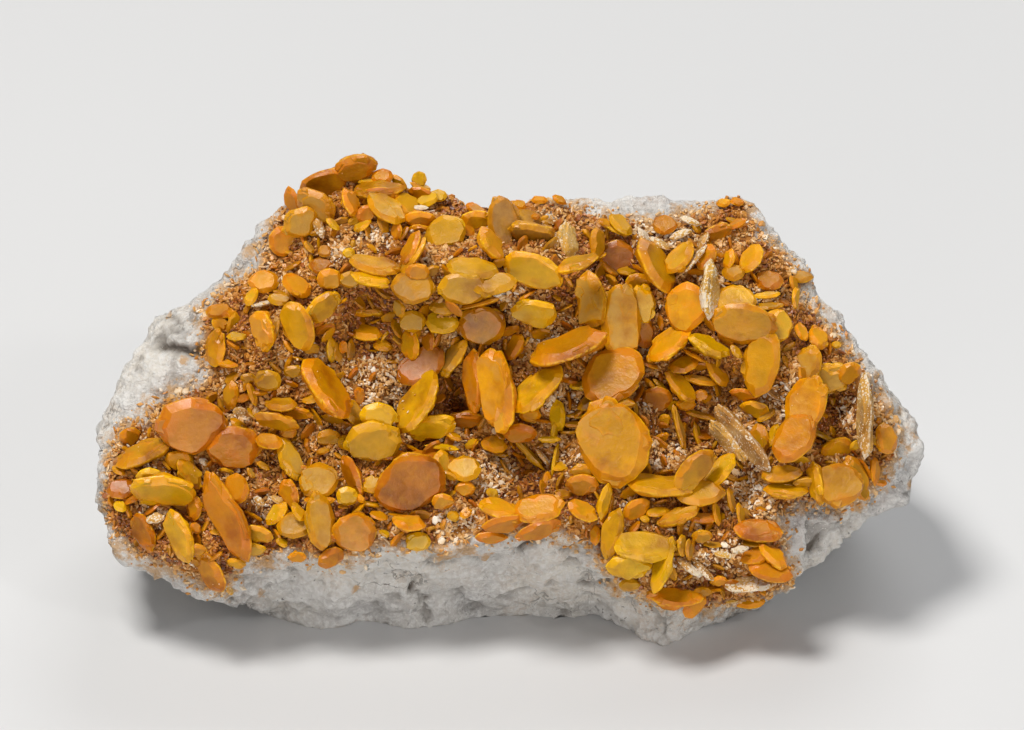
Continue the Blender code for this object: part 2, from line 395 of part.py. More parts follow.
def tablet(name, plate, color, grown=0.0, sides=SIDES):
    """A plate with a flat face on each side and two bevels that meet in its ragged rim."""
    u, v, length, width, thick, aim, tilt, _ = plate
    aim, tilt = math.radians(aim), math.radians(tilt)
    tip = ACROSS * math.cos(aim) + UP_FACE * math.sin(aim)
    along = UP_FACE * math.cos(aim) - ACROSS * math.sin(aim)
    normal = OUT * math.cos(tilt) + tip * math.sin(tilt)
    broad = along.cross(normal)
    centre = in_face_frame(*middle(plate))
    face = 1 - min(WIDEST_BEVEL, BEVEL * thick / width)
    uneven = random.Random(f"{u} {v}")
    bm = bmesh.new()
    bmesh.ops.create_circle(bm, segments=sides, radius=0.5)
    rim = list(bm.edges)
    for vert in bm.verts:
        vert.co *= 1 + uneven.uniform(-RAGGED, RAGGED)
    for side in (1, -1):
        made = bmesh.ops.extrude_edge_only(bm, edges=rim)["geom"]
        corners = [vert for vert in made if isinstance(vert, bmesh.types.BMVert)]
        for vert in corners:
            vert.co = Vector((vert.co.x * face, vert.co.y * face, side * 0.5))
        ring = [edge for edge in made if isinstance(edge, bmesh.types.BMEdge) and is_ring(edge, made)]
        bmesh.ops.edgeloop_fill(bm, edges=ring)
    for vert in bm.verts:
        x, y, z = vert.co
        place = along * x * (length + 2 * grown) + broad * y * (width + 2 * grown)
        vert.co = centre + (place + normal * z * (thick + 2 * grown)) * MM
    tidy(bm)
    return new_object(name, bm, color)


def combine(target, other, operation):
    """Changes the target by a Boolean with the other object, and applies it."""
    modifier = target.modifiers.new(operation, "BOOLEAN")
    modifier.operation = operation
    modifier.object = other
    graph = bpy.context.evaluated_depsgraph_get()
    bm = bmesh.new()
    bm.from_mesh(target.evaluated_get(graph).data)
    target.modifiers.clear()
    tidy(bm)
    bm.to_mesh(target.data)
    bm.free()


def remove(obj):
    """Takes a helper object out of the scene again."""
    bpy.data.objects.remove(obj)


def islands(bm):
    """The separate bodies of a mesh, as lists of faces, the largest first."""
    left = set(bm.faces)
    found = []
    while left:
        body, edge_of_body = set(), {left.pop()}
        while edge_of_body:
            face = edge_of_body.pop()
            body.add(face)
            near = {other for edge in face.edges for other in edge.link_faces}
            edge_of_body |= near - body
        left -= body
        found.append(list(body))
    return sorted(found, key=lambda faces: -sum(face.calc_area() for face in faces))


def keep_largest(obj):
    """Keeps only the largest body of an object, and says how many others were dropped."""
    bm = bmesh.new()
    bm.from_mesh(obj.data)
    tidy(bm)
    bodies = islands(bm)
    for body in bodies[1:]:
        bmesh.ops.delete(bm, geom=body, context="FACES")
    bm.to_mesh(obj.data)
    bm.free()
    return len(bodies) - 1


def merge_level_faces(obj):
    """Clears away the edges and points that the joins and cuts left on level faces."""
    bm = bmesh.new()
    bm.from_mesh(obj.data)
    bmesh.ops.dissolve_limit(bm, angle_limit=FLAT_ENOUGH, verts=bm.verts, edges=bm.edges)
    tidy(bm)
    bm.to_mesh(obj.data)
    bm.free()


def reach(plate):
    """The middle of a plate and the radius around it that holds it, in the face frame."""
    _, _, length, width, thick, *_ = plate
    return middle(plate), math.hypot(max(length, width) * (1 + RAGGED), thick) / 2 + GAP


def near(first, second):
    """Whether two plates come close enough to touch."""
    (here, radius), (there, other_radius) = reach(first), reach(second)
    return (here - there).length < radius + other_radius


def cut_by_plates(obj, plates, cutters):
    """Cuts the places of other plates, with a gap round them, out of an object."""
    for cutter_plate in cutters:
        if not any(near(plate, cutter_plate) for plate in plates):
            continue
        cutter = tablet("cutter", cutter_plate, LIMESTONE, GAP)
        combine(obj, cutter, "DIFFERENCE")
        remove(cutter)


def swollen(obj, by):
    """A copy of an object with every point moved out along its normal."""
    bm = bmesh.new()
    bm.from_mesh(obj.data)
    bm.normal_update()
    for vert in bm.verts:
        vert.co += vert.normal * by * MM
    return new_object("swollen", bm, LIMESTONE)


def large_crystals(stone):
    """Each large crystal or intergrown group, cut back from the rock and from those made before it."""
    cutter = swollen(stone, GAP)
    done = []
    for name, (tint, plates) in CRYSTALS.items():
        group = tablet(name, plates[0], TINTS[tint])
        for plate in plates[1:]:
            other = tablet("other", plate, TINTS[tint])
            combine(group, other, "UNION")
            remove(other)
        if keep_largest(group):
            raise ValueError(f"{name}: its plates don't meet")
        cut_by_plates(group, plates, done)
        combine(group, cutter, "DIFFERENCE")
        keep_largest(group)
        merge_level_faces(group)
        done += plates
    remove(cutter)
    return done


def fuse_small_crystals(stone, large_plates):
    """Joins the smaller crystals to the rock, cut back from the large ones."""
    for plate in SMALL_CRYSTALS:
        crystal = tablet("small", plate, LIMESTONE, sides=SMALL_SIDES)
        cut_by_plates(crystal, [plate], large_plates)
        keep_largest(crystal)
        combine(stone, crystal, "UNION")
        remove(crystal)
    keep_largest(stone)
    merge_level_faces(stone)


def main():
    """Clears the scene and builds the specimen."""
    for obj in list(bpy.data.objects):
        bpy.data.objects.remove(obj)
    stone = rock()
    large_plates = large_crystals(stone)
    fuse_small_crystals(stone, large_plates)


main()
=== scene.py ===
"""Looks of a wulfenite specimen: tabular crystals crusted over the leaning face of a limestone wedge.

Places on the face are given in its own frame, in millimetres: u runs across it to the right, v up it,
and w out of it. Everything else is in metres, with the floor at z = 0.
"""

from __future__ import annotations

import json
import logging
import math
import random
from collections.abc import Iterable
from dataclasses import dataclass, field, replace
from enum import Enum

import bmesh
import bpy
from mathutils import Matrix, Vector, noise
from mathutils.bvhtree import BVHTree

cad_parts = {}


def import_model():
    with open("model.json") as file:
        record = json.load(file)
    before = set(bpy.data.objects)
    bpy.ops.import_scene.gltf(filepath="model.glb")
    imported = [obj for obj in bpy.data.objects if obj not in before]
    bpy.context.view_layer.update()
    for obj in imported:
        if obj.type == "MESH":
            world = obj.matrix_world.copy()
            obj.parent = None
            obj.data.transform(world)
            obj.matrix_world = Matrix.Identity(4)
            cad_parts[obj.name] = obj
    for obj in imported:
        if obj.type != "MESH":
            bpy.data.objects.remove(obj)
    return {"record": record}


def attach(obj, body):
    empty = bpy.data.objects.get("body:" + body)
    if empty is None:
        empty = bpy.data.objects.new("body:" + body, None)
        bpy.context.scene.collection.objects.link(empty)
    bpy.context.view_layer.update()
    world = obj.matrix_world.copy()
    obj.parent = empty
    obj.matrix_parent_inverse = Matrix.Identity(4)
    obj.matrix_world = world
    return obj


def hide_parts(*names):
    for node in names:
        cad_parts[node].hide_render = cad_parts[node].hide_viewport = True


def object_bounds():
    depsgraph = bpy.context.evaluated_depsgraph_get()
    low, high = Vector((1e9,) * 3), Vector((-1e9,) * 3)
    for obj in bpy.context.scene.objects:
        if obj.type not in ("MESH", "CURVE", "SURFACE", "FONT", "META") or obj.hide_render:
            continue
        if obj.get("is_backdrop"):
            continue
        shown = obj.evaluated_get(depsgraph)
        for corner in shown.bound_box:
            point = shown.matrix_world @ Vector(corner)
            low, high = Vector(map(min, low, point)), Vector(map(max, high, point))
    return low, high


MM = 0.001
LOG = logging.getLogger("wulfenite")

Color = tuple[float, float, float]
Value = float | bpy.types.NodeSocket

# The rim of the rock as seen square on to the face, clockwise from the left: u, v, w
RIM = (
    (-62.7, 27.5, 10), (-61.8, 30.0, 10), (-60.0, 34.0, 9.5), (-58.5, 37.2, 9), (-56.5, 40.0, 9),
    (-54.3, 42.7, 8.5), (-53.9, 44.8, 8), (-52.2, 46.4, 8), (-48.5, 47.1, 8), (-46.0, 48.6, 8),
    (-44.0, 51.6, 8), (-41.8, 54.0, 8), (-40.0, 56.8, 8), (-38.0, 59.4, 8), (-35.3, 61.8, 8),
    (-33.8, 64.0, 8), (-31.5, 65.8, 8), (-28.0, 66.6, 9), (-25.0, 68.2, 10), (-21.5, 68.2, 10),
    (-18.5, 66.6, 10), (-14.5, 65.2, 9), (-10.3, 64.6, 8), (-7.5, 63.2, 7), (-3.5, 62.9, 7),
    (1.0, 63.0, 7), (5.0, 64.1, 7), (10.0, 63.3, 6), (15.0, 63.5, 6), (19.0, 63.8, 6), (23.0, 64.3, 6),
    (26.5, 63.5, 6), (30.0, 63.5, 6), (33.5, 64.3, 6), (36.3, 63.2, 6), (38.9, 60.0, 7), (41.5, 57.1, 7),
    (44.6, 54.8, 7), (46.0, 52.0, 7), (47.3, 48.7, 8), (50.0, 46.2, 8), (51.0, 43.2, 8),
    (53.6, 40.6, 8), (55.8, 37.5, 8), (57.0, 35.2, 8), (59.0, 32.8, 8), (61.0, 30.8, 8), (61.9, 27.8, 8),
    (62.6, 24.8, 8), (61.6, 22.3, 8), (61.1, 19.0, 8), (59.8, 17.2, 8), (56.0, 15.9, 7.5),
    (53.0, 13.4, 7), (50.2, 11.7, 7), (48.2, 9.4, 7.5), (46.3, 8.0, 8), (43.9, 7.4, 9), (42.5, 5.0, 9),
    (40.5, 3.4, 7), (38.0, 2.3, 3), (35.5, 0.6, -1.0), (33.0, -0.6, 1.0), (30.0, -1.0, 1.7),
    (27.0, -2.7, 4.7), (23.5, -4.1, 7.1), (20.0, -3.2, 5.5), (17.0, -0.9, 1.6), (13.5, 0.6, -1.0),
    (9.5, 0.0, 0.0), (5.0, 0.2, -0.3), (0.0, 0.3, -0.5), (-5.0, -0.1, 0.2), (-10.0, -1.0, 1.7),
    (-15.0, -1.7, 2.9), (-19.0, -1.0, 1.7), (-22.5, -0.3, 0.5), (-26.0, -1.7, 2.9), (-29.0, -1.8, 3.1),
    (-32.0, -1.0, 1.7), (-36.0, 0.0, 0.0), (-39.0, 1.1, 3.0), (-42.0, 2.1, 8), (-45.5, 2.7, 12),
    (-49.0, 4.2, 12), (-53.0, 6.2, 12), (-57.0, 8.0, 13), (-59.2, 10.2, 14), (-60.4, 13.2, 15),
    (-60.3, 16.0, 15), (-62.4, 18.3, 15), (-62.4, 21.5, 15), (-61.0, 24.3, 12),
)

# Spot depths of the front inside the rim, in rows up the face: v, then pairs of u and w
RELIEF = (
    (60.5, ((-31, 13), (-25, 15), (-19, 15), (-13, 14), (-7, 15), (0, 14), (6, 14), (12, 12), (18, 10),
            (24, 10), (30, 10), (36, 9))),
    (54.0, ((-37, 11), (-30, 14), (-24, 17), (-19, 20), (-13, 21), (-8, 22), (-3, 22), (4, 20), (10, 17),
            (16, 9), (21, 12), (27, 13), (33, 13), (38, 12), (43, 10))),
    (50.0, ((-25, 17), (-19, 19), (-13, 21), (-7, 22), (-2, 22), (4, 20), (9, 15))),
    (47.5, ((-43, 11), (-37, 13), (-31, 16), (-26, 17), (-21, 10), (-16, 15), (-10, 15), (-4, 13),
            (4, 17), (9, 12), (14, 15), (20, 12), (26, 14), (31, 15), (36, 15), (42, 12))),
    (42.0, ((-50, 12), (-45, 13), (-40, 15), (-36, 18), (-31, 17), (-26, 14), (-21, 10), (-15, 12),
            (-9, 13), (-3, 14), (3, 12), (9, 16), (15, 14), (21, 11), (26, 13), (31, 15), (37, 16),
            (43, 13), (48, 11))),
    (36.0, ((-57, 10), (-52, 12), (-47, 13), (-42, 14), (-37, 18), (-32, 16), (-28, 16), (-22, 12),
            (-17, 11), (-12, 13), (-8, 6), (-2, 15), (4, 15), (10, 12), (16, 15), (21, 11), (26, 12),
            (31, 11), (37, 14), (43, 16), (48, 11), (53, 13))),
    (32.5, ((-56, 12), (-47, 15), (-38, 17), (-12, 13), (-8, 6), (-2, 15), (9, 12), (17, 16), (25, 11),
            (38, 13), (44, 16), (49.5, 7), (53, 13), (57, 10))),
    (28.5, ((-59, 11), (-54, 13), (-47, 17), (-41, 17), (-35, 18), (-30, 14), (-25, 14), (-20, 16),
            (-14, 9), (-9, 13), (-4, 9), (2, 13), (8, 13), (14, 17), (20, 17), (24, 11), (29, 8),
            (33, 15), (38, 13), (43, 17), (48, 10), (53, 14), (57, 12))),
    (22.5, ((-59, 16), (-53, 18), (-47, 16), (-42, 19), (-36, 17), (-31, 17), (-27, 18), (-22, 17),
            (-15, 18), (-9, 16), (-4, 14), (2.5, 6), (7, 12), (12, 17), (17, 18), (22, 15), (27, 18),
            (34, 8), (38, 14), (43, 16), (49, 16), (53, 14), (57, 11))),
    (16.0, ((-58, 17), (-53, 19), (-48, 18), (-44, 19), (-40, 20), (-35, 18), (-30, 20), (-25, 20),
            (-20, 19), (-14, 20), (-8, 19), (-1, 21), (5, 21), (10, 19), (15, 19), (20, 18), (25, 18),
            (30, 17), (34, 17), (38, 18), (43, 12), (49, 11), (54, 9))),
    (10.5, ((-55, 17), (-50, 20), (-46, 21), (-41, 20), (-36, 19), (-30, 20), (-25, 19), (-20, 19),
            (-14, 19), (-8, 19), (-3, 18), (3, 17), (8, 16), (13, 17), (18, 20), (23, 20), (28, 19),
            (33, 19), (38, 18), (42, 12), (46, 10))),
    (5.0, ((-49, 15), (-45, 18), (-40, 13), (-34, 10), (-27, 11), (-20, 9.5), (-13, 9), (-6, 8.5), (1, 8),
           (8, 8), (14, 11), (19, 15), (24, 17), (29, 16), (34, 15), (38, 14))),
    (1.5, ((-31, 4), (-20, 4), (-10, 4), (0, 3), (10, 3), (18, 6), (24, 12), (29, 10), (34, 5))),
)

# The edge of the crust that covers the face, clockwise from the left: u, v
CRUST_EDGE = (
    (-59.6, 22.8), (-58.4, 28.5), (-53.9, 29.6), (-53.1, 32.6), (-49.4, 33.6), (-45.6, 35.6),
    (-44.1, 37.5), (-45.6, 40.8), (-45.6, 46.8), (-41.1, 50.6), (-37.0, 52.8), (-36.2, 57.3),
    (-34.4, 61.0), (-31.4, 66.3), (-24.6, 70.5), (-16.4, 68.6), (-10.4, 64.5), (-1.4, 64.8), (7.7, 62.6),
    (16.7, 59.6), (28.7, 61.1), (35.4, 63.3), (37.2, 58.1), (42.2, 54.0), (43.7, 48.3), (49.7, 41.6),
    (52.7, 37.1), (55.7, 33.3), (58.4, 28.8), (57.9, 25.1), (54.2, 19.8), (49.7, 17.3), (43.7, 18.3),
    (39.9, 16.1), (40.7, 11.6), (42.2, 6.3), (39.2, 3.3), (31.7, 2.6), (27.2, 1.8), (21.2, 3.3),
    (15.2, 7.8), (12.2, 12.3), (7.7, 13.8), (-4.4, 13.8), (-10.4, 11.6), (-19.4, 12.3), (-25.4, 9.3),
    (-32.9, 11.6), (-40.4, 9.3), (-43.1, 4.8), (-47.9, 7.1), (-55.4, 10.8), (-60.2, 15.3), (-60.6, 19.8),
)

# Where white druse covers the crust, and where its grains are dark, partly rusty crust and partly painted
# shade in cavities: u, v, radius
WHITE_DRUSE = (
    (-19.0, 35.0, 5.5), (6.5, 34.5, 3.0), (-7.5, 14.5, 3.6), (-2.5, 22.5, 3.8), (36.5, 19.0, 5.0),
    (39.8, 32.0, 3.4), (30.0, 50.5, 4.2), (53.2, 31.0, 4.0), (8.8, 24.2, 2.4), (-36.0, 17.2, 2.6),
    (27.5, 8.8, 3.0), (33.5, 10.4, 3.2), (-26.3, 68.4, 2.6), (-19.3, 57.4, 2.4), (-26.0, 55.3, 2.2),
    (23.0, 58.0, 4.6), (28.0, 57.4, 2.4), (38.0, 48.2, 3.4), (-46.3, 22.8, 2.0), (-40.2, 31.2, 2.0),
    (-29.0, 38.6, 3.0), (-54.5, 25.6, 3.2), (-53.0, 15.6, 2.6), (34.6, 28.8, 3.6), (9.3, 33.0, 2.2),
    (-42.4, 5.2, 2.2), (20.0, 40.4, 1.8), (5.8, 43.0, 1.8), (24.0, 25.6, 3.6), (-8.4, 27.6, 2.4),
    (18.8, 17.6, 2.2), (5.6, 60.0, 2.0), (-12.8, 63.0, 2.0), (42.6, 34.8, 2.0),
)
RUST_AND_SHADE = (
    (-55.0, 12.5, 6.0), (-23.0, 16.5, 4.4), (-35.0, 14.0, 4.0), (28.5, 7.0, 5.0), (-21.0, 47.0, 5.0),
    (16.0, 55.0, 5.0), (-17.5, 56.5, 3.2), (2.5, 21.5, 4.0), (-9.0, 34.0, 3.6), (49.5, 31.0, 4.4),
    (42.0, 11.0, 3.4), (44.5, 43.5, 3.4), (-41.0, 45.0, 3.4), (10.0, 19.0, 4.0), (26.0, 33.0, 3.6),
    (-37.5, 16.8, 3.2), (-12.0, 19.0, 4.0), (20.0, 42.0, 4.0), (-22.0, 42.0, 3.6), (10.0, 51.0, 3.0),
)

# Ochre stains and crusts of tiny crystals on the bare rock: u, v, radius
STAINS = (
    (-51.5, 46.0, 0.7), (-49.0, 39.2, 0.9), (-46.4, 38.8, 0.8), (-60.2, 23.6, 0.9), (-55.8, 32.0, 0.7),
    (-50.9, 35.1, 1.2), (-49.6, 34.9, 0.8), (61.2, 28.0, 0.8), (57.7, 22.6, 1.0), (-39.4, 55.7, 1.2),
    (55.4, 36.8, 1.0), (-58.8, 11.6, 2.4), (-23.0, 4.6, 0.8), (-37.5, 3.7, 0.8),
    (-9.0, 9.8, 2.2), (-6.0, 10.6, 1.6), (-3.5, 9.2, 1.2), (60.9, 20.4, 0.8), (55.6, 20.8, 1.2),
    (52.4, 16.9, 1.0), (-36.0, 8.6, 1.6), (36.6, 62.4, 1.8), (32.0, 63.0, 1.8), (4.6, 63.2, 1.6),
    (12.0, 61.6, 1.4), (44.0, 51.8, 1.6), (-42.6, 47.5, 1.4), (-45.2, 43.0, 1.2), (48.8, 43.6, 1.2),
    (-57.6, 29.6, 1.0), (30.2, 1.2, 1.2), (41.8, 8.8, 1.4), (-52.8, 7.6, 1.6), (16.0, 4.6, 1.4),
)

# Cracks and holes in the bare rock: from u, v to u, v, and how far they reach
CRACKS = (
    (-52.4, 41.3, -46.5, 40.5, 1.1), (-56.2, 11.2, -55.8, 10.8, 1.0), (10.6, 5.0, 14.8, 5.3, 0.9),
    (1.5, 10.5, 5.0, 12.0, 0.8), (-31.2, 9.2, -29.2, 10.0, 0.8), (40.5, 17.2, 43.6, 18.0, 0.8),
    (-14.5, 4.6, -11.8, 3.0, 0.7), (45.4, 10.2, 47.6, 12.4, 0.7), (-41.5, 2.6, -38.4, 1.6, 0.7),
)

# Spots where the bare rock is made darker: u, v, radius
DARKER_SPOTS = ((-49.6, 43.8, 5.0), (-46.8, 46.6, 3.4), (9.0, 10.6, 3.4), (-12.6, 9.8, 4.0), (47.0, 45.6, 3.2))


class Tint(Enum):
    """The colours that the crystals are sorted by, named as their material slots are."""

    GOLDEN = "golden"
    BUTTERSCOTCH = "butterscotch"
    AMBER = "amber"
    ORANGE = "orange"
    TAN = "tan"
    SALMON = "salmon"
    BROWN = "brown"
    YELLOW = "yellow"
    STRAW = "straw"


# The crystals of each tint: u, v, length, width, thickness, the way the face tips and how far
# (degrees from facing out of the specimen's face), and how far the crystal is raised off the rock
PLATES = {
    Tint.GOLDEN: (
        (-19.5, 64.8, 8, 3.8, 1.4, 95, 60, 2), (-18.5, 61.9, 6.6, 5, 1.6, 57, 50, -0.4),
        (-15.4, 62.4, 5, 4, 1.5, 40, 45, 0.6), (3.6, 52.6, 9.5, 6, 1.4, -110, 35, 0.4),
        (10, 53.6, 6.8, 4, 1.3, 108, 66, 4), (22, 53.2, 9.6, 6.5, 2, 28, 60, 1),
        (25.6, 54.6, 5.8, 4.2, 1.4, 140, 40, 0.4), (-20, 53.4, 8, 3.6, 1.4, 80, 42, 0.8),
        (-20.5, 51.4, 6, 3.4, 1.3, 78, 50, 2.6), (-31.5, 44.5, 8, 5.4, 1.7, 205, 32, 1),
        (-27.9, 47.2, 6.2, 4.4, 1.4, -50, 40, 0.8), (35.2, 44.8, 10, 6.8, 1.6, -100, 25, 1),
        (33.6, 48, 7, 5.2, 1.4, 90, 22, 0.4), (40.2, 44.5, 5.4, 4.8, 1.5, 0, 20, 1.8),
        (37.8, 38.8, 10.2, 6, 1.8, 170, 22, 1.2), (-54.6, 25.4, 9.6, 4.4, 2, 115, 50, 1),
        (-51.6, 19.8, 10.4, 5.8, 1.8, -95, 42, 1), (-49.2, 13, 8.2, 4.6, 1.7, 200, 40, 1),
        (-13.6, 33, 10.6, 5.8, 1.9, 150, 45, 1.2), (-11.6, 29.2, 7.4, 4.6, 1.6, -80, 35, 2.8),
        (4.3, 34.9, 10, 5.6, 2, 135, 46, 1.2), (27.7, 23, 7.8, 4.8, 1.9, -45, 35, 1.4),
        (22.4, 20.5, 10.4, 4.8, 1.6, 85, 54, 3), (28.4, 19.5, 7.6, 4.6, 1.6, 90, 30, 0.6),
        (31.4, 22.6, 6.6, 4, 1.5, 140, 40, 7.4), (49.3, 20.6, 7.4, 7, 1.8, 90, 16, 1),
        (52.1, 21.6, 7, 3.8, 1.5, 20, 38, 0.8), (46, 20.8, 6.6, 3.4, 1.5, 190, 62, 1.2),
        (13.2, 56.8, 5.2, 3, 1.4, 0, 45, 0.6), (-41.7, 34, 4.6, 3, 1.4, 175, 35, 0.8),
        (-34, 32.6, 5, 3.2, 1.4, 90, 52, 1), (-34.8, 30.2, 7, 3.4, 1.4, -105, 55, 1),
        (-27, 27.6, 3.8, 3, 1.3, -90, 25, 0.4), (-10.2, 23.6, 4.8, 3.2, 1.4, 0, 34, 0.8),
        (25.6, 35.4, 6.4, 3.4, 1.3, 40, 48, 0.8), (36.9, 32, 4.6, 3, 1.4, -100, 40, 0.6),
        (37.4, 27.4, 5, 3.6, 1.5, 180, 24, 0.2), (41, 22.2, 6.2, 3.2, 1.4, 95, 45, 0.8),
        (41.4, 19.8, 6.6, 3.2, 1.3, 88, 52, 1), (-47.9, 22.4, 5.8, 3.6, 1.4, 30, 38, 0.8),
        (-37.3, 13.4, 4.4, 3, 1.3, -110, 40, 0.8), (-34.7, 16.4, 4.4, 3, 1.3, 140, 40, 0.8),
        (25.2, 16, 6.6, 3.2, 1.4, 110, 44, 0.8), (-22, 59.4, 3, 1.8, 0.8, 120, 45, 0.6),
        (-16.5, 66, 3.2, 1.8, 0.9, 225, 40, 0.6), (13.3, 54.9, 3, 1.6, 0.8, 108, 60, 0.8),
        (-38.6, 48.8, 3, 2, 0.9, 150, 30, 0.6), (-19, 41.4, 3.1, 2, 1, 80, 35, 0.6),
        (46.6, 34.8, 3.2, 2.4, 1.1, -90, 30, 2), (43, 48.6, 3.4, 1.6, 0.8, 0, 50, 0.4),
        (42.8, 50.8, 2.6, 1.4, 0.7, 20, 50, 0.2), (38.6, 49, 4.2, 1.6, 0.6, 95, 55, 0.8),
        (-38.4, 34.2, 3.8, 1.6, 0.8, 20, 48, 0.8), (-58.4, 22.8, 2.2, 1.6, 0.8, 60, 40, 0.2),
        (-8.4, 28, 3, 1.6, 0.8, 60, 50, 0.6), (-5.8, 26.6, 2.8, 1.6, 0.8, 120, 50, 0.6),
        (15.8, 32.8, 6, 3, 1.2, 90, 35, 1.2), (13.4, 32, 2.6, 1.4, 0.8, 70, 50, 0.6),
        (10.4, 31, 3.6, 1.4, 0.6, 92, 56, 0.8), (10, 29.6, 3.6, 1.3, 0.6, 88, 56, 0.8),
        (11.2, 22.6, 4, 2.6, 1, -90, 30, 0.6), (28.4, 28, 4, 1.4, 0.7, 15, 56, 1.2),
        (28.8, 31, 5, 1.5, 0.7, 76, 56, 1), (39.6, 28, 4, 1.8, 0.9, 160, 50, 0.6),
        (-31.4, 16.6, 3.2, 2, 1, 35, 40, 0.8), (-40.7, 9, 3, 1.8, 0.9, -100, 40, 0.4),
        (8.2, 19.2, 2.6, 1.8, 0.9, 80, 40, 0.4), (22.2, 16.6, 3.6, 2, 0.9, 100, 45, 0.6),
        (28.8, 13, 3.2, 2.2, 1, -90, 35, 0.6), (31, 16.4, 4, 1.8, 0.7, 10, 56, 0.6),
        (34.6, 16.2, 3.8, 1.8, 0.7, 8, 56, 0.6),
    ),
    Tint.BUTTERSCOTCH: (
        (-29, 62.4, 6.8, 5.2, 1.8, -125, 35, 0.8), (-31.3, 59.9, 5.8, 4.8, 1.5, -60, 25, 0.6),
        (3.9, 46.3, 7, 5, 1.4, -98, 40, 0.8), (16.7, 45.3, 11.5, 6.4, 1.7, 2, 12, 1.4),
        (12.3, 48.3, 9, 5, 1.6, 185, 28, 0.6), (20, 47.7, 6, 4.4, 1.5, 0, 25, 1.4),
        (47.9, 36.6, 6.8, 5.2, 2, -90, 24, 0.4), (44.8, 38.4, 6.2, 4.6, 1.6, 160, 20, -1.4),
        (-28.3, 21.2, 6, 5.6, 1.6, 90, 12, 1.2), (-28.2, 15.4, 8.6, 4.8, 1.7, 5, 22, 0.2),
        (-20.5, 20.6, 4, 3, 1.4, 90, 34, 0.6), (-6.8, 23, 5.2, 4.2, 1.5, 90, 24, 0.8),
        (-26.3, 59.6, 2.6, 1.6, 0.7, 50, 55, 0.6), (-21.3, 66.1, 2.8, 1.4, 0.7, 90, 60, 0.8),
        (-13.3, 65.4, 3.4, 1.8, 0.7, 70, 60, 0.8), (-14.2, 54.8, 6.5, 3, 0.9, 148, 66, 0.6),
        (15.2, 59.4, 4, 2, 0.5, 52, 68, 0.8), (-16.5, 47, 2.8, 2, 0.8, 200, 30, 0.6),
        (28.8, 36.2, 5.2, 2, 0.8, 75, 58, 0.8), (-38.6, 22.4, 1.8, 1.2, 0.6, 30, 50, 1.2),
    ),
    Tint.AMBER: (
        (-23, 68.2, 6.4, 5, 1.8, -80, 35, 0.6), (-27.8, 65.8, 8, 5.2, 1.6, -70, 38, 0.6),
        (-44, 41, 6, 3.6, 1.6, 175, 35, 0.6), (9, 41.2, 11.8, 7, 2.1, 110, 60, 1.8),
        (15.4, 37, 10.6, 8.2, 2.2, 130, 18, 1), (-44.6, 7.6, 7, 4, 1.7, 212, 36, 0.4),
        (15.6, 26.9, 13.6, 11.2, 2.7, 200, 13, 1.6), (56.6, 27.5, 4.8, 3.8, 1.4, 10, 28, 0.6),
        (-23, 13.7, 6.6, 6, 1.7, -90, 16, 0.6), (-28.2, 53.4, 3.8, 3, 1.3, 90, 30, 0.4),
        (-5, 60.3, 4.8, 3.6, 1.4, -80, 35, 0.6), (-2.7, 56.8, 5.6, 3.8, 1.5, 30, 52, 0.8),
        (23.4, 59.6, 3.8, 3.2, 1.2, 90, 20, 0.4), (31.4, 58.4, 4.6, 3.4, 1.4, -70, 40, 0.6),
        (36.4, 54.6, 5, 3.8, 1.5, 150, 40, 0.6), (-26.8, 51.4, 4, 3.6, 1.5, -90, 24, 0.4),
        (-43.6, 46.6, 4.2, 3, 1.4, 90, 40, 0.4), (-14.8, 41.6, 5, 3.6, 1.5, 190, 38, 0.8),
        (26.2, 38.6, 5, 3.2, 1.3, 102, 38, 0.4), (39, 51.2, 4.4, 3.4, 1.3, 90, 25, 0.4),
        (51, 37.4, 4, 3.4, 1.4, -60, 30, 0.4), (49.2, 25.9, 5.4, 3.8, 1.5, -65, 32, 0.8),
        (-47, 17.2, 4, 3, 1.3, 180, 40, 0.6), (11, 16.8, 5, 3.2, 1.5, 60, 36, 0.8),
        (11, 20.6, 5, 3.6, 1.4, -90, 26, 0.6), (19, 17, 4.6, 3.4, 1.4, -60, 34, 0.4),
        (-57, 27.9, 3.4, 3, 1.4, -70, 30, 0.6), (-27.6, 55.6, 2, 2, 0.8, 90, 20, 0.4),
        (14.4, 59.9, 2.2, 1.4, 0.7, 60, 30, 0.6), (19.4, 51, 4, 3, 1, -90, 20, 0.4),
        (-33, 28.4, 2.6, 2, 0.9, -80, 30, 0.4), (-31, 22.8, 2.4, 2, 0.9, -90, 30, 0.6),
        (-9.9, 18.2, 3.6, 2.8, 1.2, -90, 25, 0.8), (23.4, 30.5, 1.8, 1.6, 0.8, -90, 30, 0.6),
        (54.9, 22.6, 4.6, 1.8, 1, 0, 48, 0.6), (-46.6, 11, 3, 2.2, 1, -90, 30, 0.4),
    ),
    Tint.ORANGE: (
        (-27.3, 35, 11.5, 7, 2, 38, 58, 1.6), (24, 41.8, 8.2, 5.2, 1.7, 128, 52, 1),
        (26.7, 47.3, 7.4, 6.6, 1.6, 180, 16, 0.8), (-47.4, 29.4, 10.8, 9, 2.6, -90, 18, 1.2),
        (-41.3, 26.3, 7.8, 7.4, 2.2, -90, 20, 0.4), (4.4, 17.2, 7.6, 5.2, 1.7, 100, 35, 0.6),
        (-1.2, 16.9, 7.2, 3.6, 1.5, 70, 45, 0.8), (-0.9, 15, 6.6, 3.2, 1.4, -80, 46, 1),
        (4.4, 14.1, 7.2, 3.4, 1.4, -70, 45, 1.6), (39.1, 7.8, 6.8, 4.2, 1.8, 75, 35, 3),
        (36.9, 10.1, 4.8, 3.2, 1.4, 110, 45, -0.6), (39.5, 10, 5.4, 3.2, 1.4, 50, 45, 0.8),
